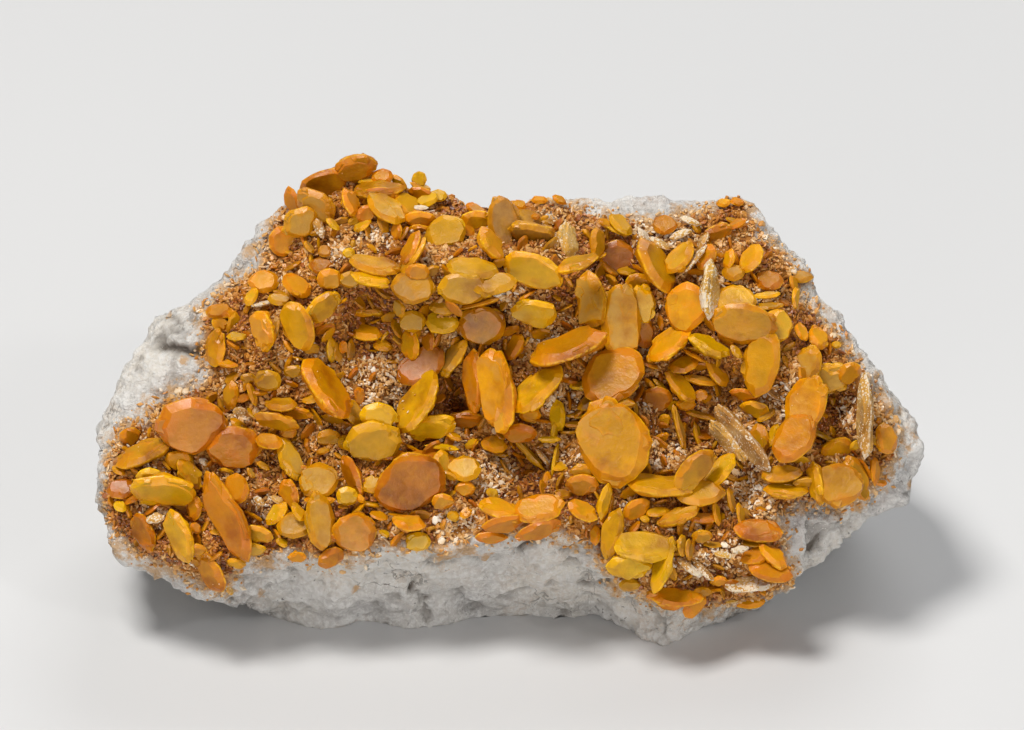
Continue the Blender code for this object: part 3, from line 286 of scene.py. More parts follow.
        (24.8, 3.8, 8.4, 3.8, 1.6, 85, 46, 0.2), (27.8, 2.5, 4.6, 3, 1.4, -40, 30, 5),
        (-34, 57.2, 5, 4.6, 1.6, -20, 18, 0.4), (-14.6, 56, 5.6, 3.4, 1.3, 155, 60, 0.8),
        (29.6, 54.8, 4.4, 3.2, 1.4, 155, 42, 0.4), (-36.8, 51, 4.8, 3.8, 1.4, 90, 18, 0.4),
        (-31.8, 50.4, 5, 3.4, 1.4, 55, 28, 0.4), (-21.5, 43.4, 5.4, 3.6, 1.5, 85, 48, 0.4),
        (0.8, 41.2, 4.4, 3, 1.4, 150, 48, 0.6), (-23.4, 22, 6.8, 3.4, 1.3, 200, 48, 0.8),
        (1.6, 28.3, 5.2, 3.4, 1.5, -90, 28, 0.8), (-32.9, 19.4, 4.6, 3.4, 1.4, 200, 34, 0.8),
        (-14.9, 15, 5, 3.2, 1.4, 80, 44, 0.8), (37.2, 13.8, 7.6, 4, 1.8, 85, 24, 0.2),
        (36.2, 2.9, 5, 2.8, 1.5, 90, 30, 0.2), (46.4, 42.6, 4, 3.2, 1.4, 20, 30, 0.4),
        (-32.6, 63.2, 4.5, 2.8, 1, 200, 40, 0.6), (-19.5, 63.6, 6, 4, 1.2, -90, 30, 0.4),
        (-21.5, 61.2, 3.4, 2.8, 1.1, -60, 25, 0.6), (-19, 66.8, 3.4, 2.6, 1.2, 90, 20, 0.8),
        (-13.4, 64.4, 3.8, 2.6, 0.9, -100, 40, 0.6), (-16.8, 58.6, 3, 2, 1, 180, 40, 0.4),
        (-4.8, 61.8, 4, 2.4, 0.9, 60, 50, 0.6), (4, 60.8, 1.4, 1.2, 0.6, 80, 30, 1),
        (1.3, 62.5, 3, 2, 1.2, 80, 40, 0.4), (33, 54.4, 3.6, 2.2, 1, 165, 50, 0.6),
        (4.6, 63.4, 2.6, 1.6, 0.8, 90, 40, 0.2), (7.6, 63.4, 2.4, 1.4, 0.8, 60, 40, 0.2),
        (32.4, 63, 2.4, 1.6, 0.8, 100, 40, 0.2), (34.4, 63.2, 2.2, 1.6, 0.8, 80, 40, 0.2),
        (-42.2, 38.7, 3.2, 1.6, 0.8, 80, 50, 0.4), (-24.9, 41.2, 2, 1.4, 0.8, 0, 30, 0.4),
        (20.4, 43.4, 5, 3, 1.2, 0, 20, 0.4), (43.9, 43.5, 3, 2, 1, 30, 30, 0.4),
        (-41.4, 45.8, 3, 2, 0.9, 40, 40, 0.4), (-49.6, 24.4, 4, 3, 1, -90, 20, 0.4),
        (-31.8, 31.4, 5, 2.4, 1, -100, 45, 0.2), (-28.3, 18.5, 5, 1.6, 1, 90, 40, 0.2),
        (-22.6, 33.8, 3, 2, 0.8, 0, 30, 0.4), (-17.5, 25, 4.6, 2, 0.9, 95, 50, 0.2),
        (-12.5, 25, 4.6, 2, 0.9, 85, 50, 0.2), (-6.6, 20, 3, 2.4, 1, -90, 25, 0.6),
        (3.2, 31, 3.4, 2.6, 1, -90, 30, 0.6), (26.6, 32.6, 3, 2.2, 1, -90, 30, 0.4),
        (22.8, 27.6, 2.6, 1.6, 0.8, -70, 40, 0.6), (35.2, 34.2, 4.8, 2.2, 1, -100, 45, 0.6),
        (-31.6, 9.9, 2.8, 2, 1, -90, 35, 0.4), (-6.4, 16.4, 2, 1.6, 0.8, 120, 30, 0.4),
        (-2.7, 12.8, 5, 2.2, 1.1, -90, 45, 0.4), (6.6, 19.9, 2.2, 1.6, 0.8, -60, 30, 0.4),
        (12.9, 13.1, 3, 2, 1, 180, 40, 0.4), (16.6, 9.9, 3.6, 2, 0.9, 180, 45, 0.4),
        (31.4, 6.2, 2.6, 1.8, 0.9, -80, 40, 0.4),
    ),
    Tint.TAN: (
        (-0.8, 60, 8, 5.5, 1.5, 10, 22, 0.8), (3.5, 58.4, 7.2, 5, 1.6, -98, 58, 1.4),
        (-14.3, 50.2, 6.6, 5.2, 1.4, 90, 12, 1.4), (-8.2, 39.6, 6.4, 3.8, 1.6, 147, 58, 1.2),
        (16.8, 59.6, 4.4, 3.2, 1.3, 52, 50, 0.6), (-32.8, 24.6, 7, 3.8, 1.4, 25, 38, 0.8),
        (-23.4, 31.4, 4.6, 3.2, 1.4, 30, 38, 0.8), (12.4, 33.2, 5, 3, 1.4, 120, 40, 0.4),
        (-30, 56.2, 2.2, 1.4, 0.8, 40, 60, 0.4), (2.8, 60.6, 4.5, 3.2, 1, 80, 35, 0.8),
        (5.9, 59.9, 2, 1.2, 0.6, 80, 40, 0.8), (-34.4, 48.4, 3.5, 2.4, 1, 90, 30, 0.6),
        (-26.6, 40.8, 4, 2, 1.2, 0, 50, 0.4), (-21.8, 49.4, 2.6, 1.4, 0.6, 90, 60, 0.8),
        (33.6, 52.4, 3.4, 3, 1.4, 90, 30, 0.6), (44, 51.8, 3.8, 2.2, 1, 90, 30, 0.2),
        (38.8, 47.4, 4.6, 1.8, 0.6, 95, 55, 1), (-36.8, 23.5, 2.4, 1.2, 0.7, 60, 50, 0.8),
        (25.6, 29, 7.2, 1.6, 0.8, 15, 58, 1.2), (38.6, 31, 3.4, 1.8, 0.8, 120, 50, 0.6),
        (46.6, 28.2, 4.4, 1.3, 0.6, 60, 62, 1), (47.9, 27.4, 4.2, 1.3, 0.6, 58, 62, 0.8),
        (-32.2, 14.6, 5.4, 4.2, 1.2, 90, 15, 0.4), (-38, 11, 3.4, 2.2, 1, -90, 30, 0.4),
        (-8.3, 16, 2, 1.8, 0.8, 60, 30, 0.4), (25.8, 11.6, 3.4, 2, 0.9, 0, 50, 0.6),
        (26.9, 11, 3.2, 1.8, 0.9, 0, 50, 0.6), (33.2, 18.4, 4, 1.8, 0.7, 12, 56, 0.6),
        (29, 4.6, 2.8, 1.8, 0.9, -90, 45, 0.4),
    ),
    Tint.SALMON: (
        (-36.8, 43.8, 6.4, 4.4, 1.8, 195, 45, 0.8), (-42, 16, 14.4, 5.4, 2, 205, 35, 1.4),
        (-40.6, 20, 4.8, 4.4, 1.5, 180, 25, 2.2), (-6.6, 30.4, 6.6, 3.2, 1.4, -90, 50, 1),
        (-1.9, 34.8, 13, 5.8, 2.2, 188, 26, 1.8), (-5.3, 36, 9.6, 4.2, 1.6, 180, 50, 6),
        (44.4, 32.6, 9, 6.4, 1.9, 160, 20, 1.2), (42.5, 27.6, 8.6, 6.2, 1.9, 150, 20, 1),
        (-23.8, 62.8, 4.6, 3.4, 1.6, 24, 55, 0.6), (-13.3, 60.4, 5.2, 3.2, 1.4, -92, 45, 0.8),
        (31.2, 37.6, 5.4, 3.2, 1.3, 32, 45, 0.6), (-35.8, 27.2, 4.4, 3.2, 1.4, 80, 40, 0.8),
        (-2.2, 26.6, 4, 3, 1.5, 80, 34, 0.6), (-13.2, 58.8, 4.2, 2.4, 0.9, -95, 55, 0.6),
        (7.2, 59.4, 2.8, 1.6, 0.9, 145, 60, 0.6), (14.8, 53.3, 3.8, 2.5, 0.8, 42, 68, 0.6),
        (34.3, 59.8, 3, 1.8, 0.8, 115, 50, 0.6), (-13.7, 52.4, 3.6, 3, 1, -90, 30, 2),
        (-4.4, 47.9, 7, 2.2, 0.7, 105, 66, 2.6), (21, 38.6, 3.2, 1.6, 0.6, 70, 66, 1),
        (27.9, 39.9, 4, 1.2, 0.5, 60, 66, 0.8), (2.6, 23.4, 4.6, 1.6, 0.6, 43, 62, 2.4),
        (3.4, 21.8, 4, 1.3, 0.6, 60, 60, 1.6), (5.8, 20.4, 4.6, 2, 1, 0, 40, 1),
        (12.2, 30, 1.4, 1.2, 0.8, 30, 30, 0.8), (28.8, 34, 2.2, 2, 0.8, -90, 15, 0.6),
        (56, 20.8, 1.7, 1.1, 0.6, 90, 30, 0.2), (-46.8, 14.2, 2, 1.6, 0.9, 40, 30, 1.6),
        (-22.2, 18.6, 1.6, 1.2, 0.8, 40, 30, 1.2), (-16.7, 12.6, 3, 1.2, 0.6, -40, 58, 0.6),
        (29, 15.6, 4.4, 2, 1.2, 90, 45, 0.6),
    ),
    # Partly a browner colour of their own and partly painted shade: many of these crystals lie in shade, in
    # hollows or under others, and take this darker copy of the orange
    Tint.BROWN: (
        (-4, 44.5, 7.6, 6, 1.5, -90, 16, 0.4), (-13.2, 38.4, 8, 5.5, 1.4, 125, 25, 0.4),
        (-14.6, 21, 11.4, 8.6, 2.2, -70, 16, 0.8), (16.2, 54.8, 6.2, 5.4, 1.4, -90, 20, 0.4),
        (-21.4, 47.2, 6.4, 3.6, 1.4, 85, 55, 0.6), (22.2, 33.4, 4.8, 4.2, 1.4, -90, 28, 0.4),
        (-26.6, 9.8, 4.2, 3.4, 1.5, -60, 30, 0.2), (-58, 20, 4.4, 3.6, 1.5, 100, 30, 0.4),
        (-54.6, 13.6, 6.4, 3.6, 1.8, 200, 30, 0.4), (-43.4, 44.6, 2.8, 2.2, 1.2, 60, 30, 0.4),
        (-27.6, 43.9, 3.5, 2, 0.9, -70, 45, 0.4), (-12, 42, 3.6, 2.2, 1.2, 180, 40, 0.4),
        (-27.6, 12.6, 3.8, 2.2, 1.2, -90, 35, 0.4), (33.4, 5.6, 3, 2, 0.9, -90, 30, 0.4),
    ),
    Tint.YELLOW: (
        (-9.4, 58.3, 6.2, 5.4, 1.5, 100, 12, 1.6), (-5.5, 52.9, 8, 4.6, 1.5, 82, 42, 0.6),
        (-6.8, 50, 7.6, 5.4, 1.5, -90, 20, 1), (-2.4, 50.6, 7, 4.2, 1.4, 98, 32, 1.2),
        (29.8, 41.5, 6.6, 4.2, 1.5, 63, 58, 0.8), (-20.3, 27.2, 8.8, 6.6, 2, -90, 25, 1.2),
        (-19.6, 31, 5.8, 4.2, 1.5, -90, 20, 2.2), (15.4, 13.4, 7.6, 3.6, 1.6, 165, 32, 0.8),
        (20.2, 11.4, 9.4, 5.4, 1.8, 85, 35, 0.8), (17.9, 8.5, 6.6, 4, 1.5, -90, 25, 1.2),
        (22.9, 8.6, 9, 3.6, 1.4, 162, 50, 0.8), (-9.9, 44.9, 5, 4, 1.4, 90, 25, 0.6),
        (-9.6, 47.4, 4.8, 3.2, 1.3, 95, 35, 0.8), (-36, 36.2, 4.4, 3.6, 1.4, -90, 30, 0.8),
        (7.2, 31.2, 5, 3.2, 1.4, 185, 38, 0.8), (-53.6, 21.9, 4.4, 3.2, 1.4, -90, 34, 1.4),
        (-13.6, 12.2, 3.8, 3.2, 1.3, -90, 14, 0.6), (-23.3, 60.1, 1.8, 1.4, 0.7, -60, 30, 0.6),
        (-24, 55.3, 2, 1.6, 0.9, -90, 20, 0.6), (-13.5, 66.4, 2.6, 2.4, 1, 180, 20, 0.6),
        (-12.3, 63.4, 3.6, 2.8, 1, 110, 40, 0.6), (-10.7, 64, 3, 2.2, 0.9, 90, 30, 0.4),
        (17.9, 52.7, 3.4, 2.2, 0.8, 90, 55, 0.6), (-40.8, 42.8, 3, 2, 0.8, 90, 55, 0.6),
        (-23.8, 51.3, 3.4, 2.6, 1, -90, 20, 0.6), (-29.5, 41, 2.4, 1.8, 0.9, -80, 30, 0.4),
        (-32.3, 37.6, 3, 2.2, 0.9, -90, 30, 0.6), (-39, 36.6, 2.4, 1.6, 0.8, -90, 30, 0.6),
        (-14.4, 45.1, 4.2, 3.6, 1.2, -90, 20, 0.8), (34, 40.6, 2.6, 1.6, 0.8, 40, 40, 1.6),
        (49.2, 41.6, 1.6, 1.2, 0.6, 90, 20, 0), (-50.9, 31.4, 3, 1.5, 0.5, 35, 14, 2.6),
        (-24.4, 27, 2.8, 2.4, 1, -60, 24, 1.6), (-10, 26.2, 5.4, 1.2, 0.7, 84, 60, 1.6),
        (3, 25.2, 7, 1.3, 0.9, 43, 58, 3), (6.2, 27.4, 3.6, 1.1, 0.7, 90, 58, 1.6),
        (6.9, 24.4, 5, 1.2, 0.6, -10, 58, 1.4), (6.8, 28.4, 3, 1.4, 0.8, 0, 50, 0.8),
        (10.8, 35.4, 3.5, 1.6, 0.8, 90, 50, 0.6), (22.6, 35.6, 2.6, 1.2, 0.6, 50, 58, 0.6),
        (52, 26.5, 2, 1.6, 0.8, -60, 30, 0.6), (54.9, 27.2, 1.6, 1.4, 0.7, 30, 30, 0.6),
        (44.4, 21, 4, 2, 0.9, -85, 52, 0.8), (-58.2, 17.4, 2.2, 1.8, 0.9, 60, 30, 0.4),
        (-33.9, 12, 2, 1.4, 0.7, 60, 40, 0.4), (-24.2, 19, 3.4, 3, 1.3, -90, 20, 0.8),
        (-18.6, 13.4, 1.8, 1.2, 0.6, 60, 40, 0.6), (-2.5, 19.4, 2, 1.6, 0.8, 60, 30, 0.6),
        (14.3, 18.2, 5.4, 2.4, 1.1, -12, 40, 0.6), (20.3, 15.6, 1.6, 1.4, 0.7, 60, 30, 0.6),
        (18, 5.6, 3.4, 2.2, 1, -90, 30, 0.4),
    ),
    Tint.STRAW: (
        (30, 49.8, 9, 3.8, 1.8, -2, 58, 1.6), (34.8, 27.6, 13.4, 4.4, 1.6, 220, 52, 1.8),
        (32.7, 27.2, 8.4, 3.4, 1.3, 220, 56, 1), (53.3, 31, 13, 3.8, 1.7, 180, 66, 1.6),
        (36, 5.6, 8, 3.2, 1.3, 95, 52, 1.2), (8.9, 57.2, 5.6, 3.6, 1.5, 10, 45, 0.6),
        (-28.4, 59, 3.2, 1.6, 1.2, 200, 60, 0.8), (-13.2, 62.1, 2.2, 1.2, 0.6, 90, 60, 0.8),
        (7.3, 57, 3.2, 1.8, 1.1, 0, 60, 0.8), (20.4, 57.5, 4.2, 2, 0.8, 30, 60, 0.8),
        (22.6, 56.8, 3.8, 1.8, 0.7, 60, 62, 0.8), (25.8, 58.2, 3.8, 1.8, 0.8, 110, 58, 0.8),
        (27.3, 60.2, 3.4, 1.6, 0.7, 70, 60, 0.8), (27.6, 54.2, 6, 2, 0.5, 138, 70, 1),
        (29, 57, 3.4, 1.8, 0.8, 150, 60, 0.6), (-37.2, 47.7, 3.4, 1.2, 0.5, 100, 70, 0.6),
        (-40.2, 31.6, 2.2, 1.5, 1, -90, 30, 1), (-45.6, 24, 1.8, 1.2, 0.8, 60, 40, 0.6),
        (5, 24.8, 3.2, 1.2, 0.6, 40, 62, 1.8), (39.8, 34, 2.8, 1.4, 0.8, 60, 50, 0.6),
        (-42, 4.8, 2, 1.2, 0.6, 30, 40, 0.4), (-52.8, 15.6, 3, 1.8, 0.9, 100, 40, 0.8),
        (-34.6, 18.4, 2.4, 1.4, 0.8, 60, 40, 0.8), (-37.3, 18.2, 2, 1.4, 0.8, 60, 40, 0.8),
        (26.8, 8.4, 4.6, 1.8, 0.8, 52, 55, 0.4), (29, 7.8, 4.4, 1.8, 0.8, 48, 55, 0.6),
        (32.6, 3, 3.8, 1.3, 0.6, 90, 56, 0.4), (32, 10.2, 3, 1.4, 0.7, 80, 55, 0.6),
        (34.4, 11, 2.8, 1.4, 0.7, 100, 55, 0.6),
    ),
}

# The rings of half a tablet, from its rim inwards: share of the bevel crossed, height, nearness to the rim
STEPPED_RINGS = ((0.05, 0.08, 1.0), (0.52, 0.32, 0.85), (1.0, 0.5, 0.55), (1.12, 0.5, 0.35),
                 (2.1, 0.48, 0.1))
PLAIN_RINGS = ((1.0, 0.5, 0.55), (1.2, 0.5, 0.35))

# The part of the face where small crystals and grains are drawn: from u to u, and from v to v
ACROSS = (-61, 59)
UP = (2, 70)

# The kinds of sockets that the shared effects have
COLOR = "NodeSocketColor"
NUMBER = "NodeSocketFloat"
VECTOR = "NodeSocketVector"


@dataclass(frozen=True)
class FaceFrame:
    """The frame of the specimen's leaning face.

    Attributes:
        lean: How far the face leans back from upright, in radians.
        centre_y: Where the specimen's middle lies front to back, in millimetres.
    """

    lean: float = math.radians(30)
    centre_y: float = 16.3

    @property
    def across(self) -> Vector:
        """The direction of u."""
        return Vector((1, 0, 0))

    @property
    def up_face(self) -> Vector:
        """The direction of v."""
        return Vector((0, math.sin(self.lean), math.cos(self.lean)))

    @property
    def out(self) -> Vector:
        """The direction of w."""
        return Vector((0, -math.cos(self.lean), math.sin(self.lean)))

    def at(self, u: float, v: float, w: float) -> Vector:
        """The point, in metres, for a place in this frame, in millimetres."""
        place = self.across * u + self.up_face * v + self.out * w
        return (place - Vector((0, self.centre_y, 0))) * MM

    def seen(self, point: Vector) -> tuple[float, float, float]:
        """The place in this frame, in millimetres, of a point in metres."""
        place = point / MM + Vector((0, self.centre_y, 0))
        return place.dot(self.across), place.dot(self.up_face), place.dot(self.out)


FACE = FaceFrame()


@dataclass(frozen=True)
class Relief:
    """How far out the front of the rock lies, blended from spot depths.

    Attributes:
        softness: Rounds the relief off at each spot depth.
        sharpness: Makes the ledges between the spot depths steeper.
        spots: The spot depths: u, v, w.
    """

    softness: float = 0.6
    sharpness: float = 2.5
    spots: tuple = tuple((u, v, w) for v, row in RELIEF for u, w in row) + RIM

    def depth(self, u: float, v: float) -> float:
        """The depth of the front at a place.

        Args:
            u: Millimetres to the right.
            v: Millimetres up the face.

        Returns:
            How far out the rock lies there, in millimetres.
        """
        total = shares = 0.0
        for a, b, w in self.spots:
            share = ((u - a) ** 2 + (v - b) ** 2 + self.softness) ** -self.sharpness
            total += share * w
            shares += share
        return total / shares


FRONT = Relief()


@dataclass(frozen=True)
class Box:
    """The solids' box, which every piece stays inside.

    Attributes:
        lowest: Its lowest corner.
        highest: Its highest corner.
    """

    lowest: Vector
    highest: Vector

    def keep(self, points: Iterable) -> None:
        """Moves the points that lie outside on to the box."""
        for point in points:
            point.co = [min(max(value, low), high)
                        for value, low, high in zip(point.co, self.lowest, self.highest)]


def paint(red: int, green: int, blue: int) -> Color:
    """The linear colour of a shade given as it looks on a display, from 0 to 255."""
    shares = (red / 255, green / 255, blue / 255)
    return tuple(share / 12.92 if share < 0.04045 else ((share + 0.055) / 1.055) ** 2.4 for share in shares)


def opaque(color: Color) -> tuple[float, float, float, float]:
    """A colour as a node's socket takes it."""
    return (*color, 1.0)


def off_line(u: float, v: float, a: float, b: float, c: float, d: float) -> float:
    """How far a place is from a straight line.

    Args:
        u: Millimetres to the right.
        v: Millimetres up the face.
        a: Where the line begins, across.
        b: Where it begins, up.
        c: Where it ends, across.
        d: Where it ends, up.

    Returns:
        The distance, in millimetres.
    """
    length = (c - a) ** 2 + (d - b) ** 2
    share = min(max(((u - a) * (c - a) + (v - b) * (d - b)) / length, 0.0), 1.0)
    return math.hypot(u - a - share * (c - a), v - b - share * (d - b))


def inside(u: float, v: float, edge: tuple) -> float:
    """How far inside an outline a place is.

    Args:
        u: Millimetres to the right.
        v: Millimetres up the face.
        edge: The outline's corners.

    Returns:
        Its distance to the outline, in millimetres, or minus that where it is outside.
    """
    crossings = 0
    nearest = math.inf
    for (a, b), (c, d) in zip(edge, edge[1:] + edge[:1]):
        if (b > v) != (d > v) and u < a + (v - b) / (d - b) * (c - a):
            crossings += 1
        nearest = min(nearest, off_line(u, v, a, b, c, d))
    return nearest if crossings % 2 else -nearest


def among(u: float, v: float, patches: tuple, draw: random.Random) -> bool:
    """Whether a place is in one of some round patches, whose edges are ragged."""
    return any(math.hypot(u - a, v - b) < radius * draw.uniform(0.6, 1.15) for a, b, radius in patches)


def mesh_from(bm: bmesh.types.BMesh, name: str) -> bpy.types.Mesh:
    """Makes a mesh of a bmesh, which is freed.

    Args:
        bm: The bmesh.
        name: The mesh's name.

    Returns:
        The mesh.
    """
    mesh = bpy.data.meshes.new(name)
    bm.to_mesh(mesh)
    bm.free()
    return mesh


def put_in_scene(name: str, data: bpy.types.ID) -> bpy.types.Object:
    """Makes an object of a mesh, a light or a camera, at the scene's origin.

    Args:
        name: The object's name.
        data: The mesh, light or camera.

    Returns:
        The object.
    """
    made = bpy.data.objects.new(name, data)
    bpy.context.scene.collection.objects.link(made)
    return made


def next_ring(bm: bmesh.types.BMesh, ring: list) -> tuple[set, list]:
    """Extrudes a ring of edges, in place.

    Args:
        bm: The mesh.
        ring: The edges.

    Returns:
        The new ring's points, and its edges.
    """
    made = bmesh.ops.extrude_edge_only(bm, edges=ring)["geom"]
    corners = {item for item in made if isinstance(item, bmesh.types.BMVert)}
    edges = [item for item in made if isinstance(item, bmesh.types.BMEdge)
             and all(vert in corners for vert in item.verts)]
    return corners, edges


@dataclass(frozen=True)
class Plate:
    """One tabular crystal on the face, in millimetres and degrees.

    Attributes:
        u: Its place across the face.
        v: Its place up the face.
        length: Its size across the way that it tips.
        width: Its size along the way that it tips.
        thick: Its thickness.
        aim: The way its face tips, turned from u towards v.
        tilt: How far its face tips from facing out.
        raised: How far it is raised off the rock.
        sunk: The share of its thickness that lifts it off the rock where it lies flat.
        lean_out: The share of its half width that lifts it off the rock where it stands on its rim.
    """

    u: float
    v: float
    length: float
    width: float
    thick: float
    aim: float
    tilt: float
    raised: float
    sunk: float = 0.25
    lean_out: float = 0.5

    def place(self) -> Matrix:
        """The matrix that brings a tablet of one metre each way to this crystal's place and size.

        Returns:
            The matrix, with the tablet's face normal along its z axis.
        """
        aim, tilt = math.radians(self.aim), math.radians(self.tilt)
        tip = FACE.across * math.cos(aim) + FACE.up_face * math.sin(aim)
        along = FACE.up_face * math.cos(aim) - FACE.across * math.sin(aim)
        normal = FACE.out * math.cos(tilt) + tip * math.sin(tilt)
        broad = along.cross(normal)
        lift = self.sunk * self.thick * math.cos(tilt) + self.lean_out * self.width / 2 * math.sin(tilt)
        centre = FACE.at(self.u, self.v, FRONT.depth(self.u, self.v) + lift + self.raised)
        turn = Matrix((along, broad, normal)).transposed()
        size = Matrix.Diagonal((self.length * MM, self.width * MM, self.thick * MM))
        return Matrix.Translation(centre) @ (turn @ size).to_4x4()


@dataclass
class Tablet:
    """A tabular crystal of one metre each way: two faces, and bevels in facets that meet in its rim.

    Attributes:
        seed: What its uneven outline is drawn from.
        bevel: The share of the radius that the bevels take.
        facets: How many facets each of its sides has.
        tone: Its own shade, from 0 to 1.
        sides: How many sides it has.
        rings: The rings of its bevels and faces.
        ragged: How uneven its corners are.
        bulge: How far its sides are rounded out between the corners.
        notch: How uneven its rim is between the corners.
        astray: How far its facets' corners are from even spacing.
        lopsided: How much wider or narrower its bevels get around it.
        waves: How often their width changes.
        core: The least share of its radius that a ring keeps.
    """

    seed: str
    bevel: float
    facets: int = 3
    tone: float = 0.5
    sides: int = 8
    rings: tuple = STEPPED_RINGS
    ragged: float = 0.07
    bulge: float = 0.045
    notch: float = 0.014
    astray: float = 0.3
    lopsided: float = 1.5
    waves: float = 2.6
    core: float = 0.12

    def outline(self) -> list[Vector]:
        """The points of the rim, on the corners of the specimen's solid and rounded between them.

        Returns:
            The points, in order.
        """
        uneven = random.Random(self.seed)
        corners = []
        for side in range(self.sides):
            turn = 2 * math.pi * side / self.sides
            radius = 0.5 * (1 + uneven.uniform(-self.ragged, self.ragged))
            corners.append(Vector((-math.sin(turn), math.cos(turn), 0)) * radius)
        points = []
        for side, corner in enumerate(corners):
            after = corners[(side + 1) % self.sides]
            for facet in range(self.facets):
                share = facet / self.facets
                if facet:
                    share += uneven.uniform(-self.astray, self.astray) / self.facets
                rounded = 1 + self.bulge * 4 * share * (1 - share) + uneven.uniform(-self.notch, self.notch)
                points.append(corner.lerp(after, share) * rounded)
        return points

    def mesh(self) -> bpy.types.Mesh:
        """Builds the tablet.

        Returns:
            A mesh with the attributes "rim" and "tone" on its points.
        """
        bm = bmesh.new()
        near_rim = bm.verts.layers.float.new("rim")
        tone = bm.verts.layers.float.new("tone")
        outline = self.outline()
        bmesh.ops.create_circle(bm, segments=len(outline), radius=0.5)
        order = bm.verts.layers.int.new("order")
        bm.verts.ensure_lookup_table()
        for number, vert in enumerate(bm.verts):
            vert[order] = number
            vert.co = outline[number]
            vert[near_rim] = 1.0
        rim = list(bm.edges)
        draw = random.Random(self.seed + " bevels")
        for side in (1, -1):
            ring = rim
            shift = Vector([draw.uniform(-9, 9) for _ in range(3)])
            for crossed, height, nearness in self.rings:
                corners, ring = next_ring(bm, ring)
                for vert in corners:
                    flat = self.moved_in(outline[vert[order]], crossed, shift)
                    vert.co = Vector((flat.x, flat.y, side * height))
                    vert[near_rim] = nearness
            bmesh.ops.edgeloop_fill(bm, edges=ring)
        for vert in bm.verts:
            vert[tone] = self.tone
        bm.verts.layers.int.remove(order)
        bmesh.ops.recalc_face_normals(bm, faces=bm.faces)
        return mesh_from(bm, "tablet")

    def moved_in(self, point: Vector, crossed: float, shift: Vector) -> Vector:
        """A point of the outline moved in over the share of its bevel that is crossed."""
        width = self.bevel * (1 + self.lopsided * noise.noise(point * self.waves + shift))
        return point * max(1 - width * crossed, self.core)


@dataclass
class PieceOfMany:
    """One piece joined from many small meshes, each brought to its place.

    Attributes:
        name: The piece's name.
        box: The box that it stays inside.
        crisp: Edges sharper than this stay crisp, in radians.
        batch: How many meshes are joined at a time, because that is faster.
        waiting: The meshes that wait to be joined.
        batches: The joined meshes.
    """

    name: str
    box: Box
    crisp: float = math.radians(13)
    batch: int = 60
    waiting: list = field(default_factory=list)
    batches: list = field(default_factory=list)

    def add(self, mesh: bpy.types.Mesh, place: Matrix, tone: float | None = None) -> None:
        """Adds a copy of a mesh.

        Args:
            mesh: The mesh, which is left as it is.
            place: Where the copy goes.
            tone: The copy's shade, or None to keep the mesh's own.
        """
        copy = mesh.copy()
        copy.transform(place)
        if tone is not None:
            values = [tone] * len(copy.vertices)
            copy.attributes["tone"].data.foreach_set("value", values)
        self.waiting.append(copy)
        if len(self.waiting) == self.batch:
            self.join_batch()

    def join_batch(self) -> None:
        """Joins the meshes that wait into one."""
        if self.waiting:
            self.batches.append(self.joined(self.waiting))
            self.waiting = []

    def joined(self, meshes: list) -> bpy.types.Mesh:
        """Joins meshes and removes them.

        Args:
            meshes: The meshes.

        Returns:
            One mesh of them all.
        """
        bm = bmesh.new()
        for mesh in meshes:
            bm.from_mesh(mesh)
            bpy.data.meshes.remove(mesh)
        return mesh_from(bm, self.name)

    def build(self) -> bpy.types.Object:
        """Makes the piece's object.

        Returns:
            The object, at the origin.
        """
        self.join_batch()
        mesh = self.joined(self.batches)
        self.box.keep(mesh.vertices)
        mesh.shade_smooth()
        mesh.set_sharp_from_angle(angle=self.crisp)
        return put_in_scene(self.name, mesh)


@dataclass(frozen=True)
class Patches:
    """Where a colour lies on a surface: lumps of noise, from none of it to all of it.

    Attributes:
        scale: How many lumps there are in a metre.
        detail: How many finer sizes of lump there are.
        low: The noise at which the colour begins.
        high: The noise at which it is full.
        roughness: How strong the finer sizes are.
        strength: How much of the colour lies there.
    """

    scale: float
    detail: float
    low: float
    high: float
    roughness: float = 0.55
    strength: float = 1.0


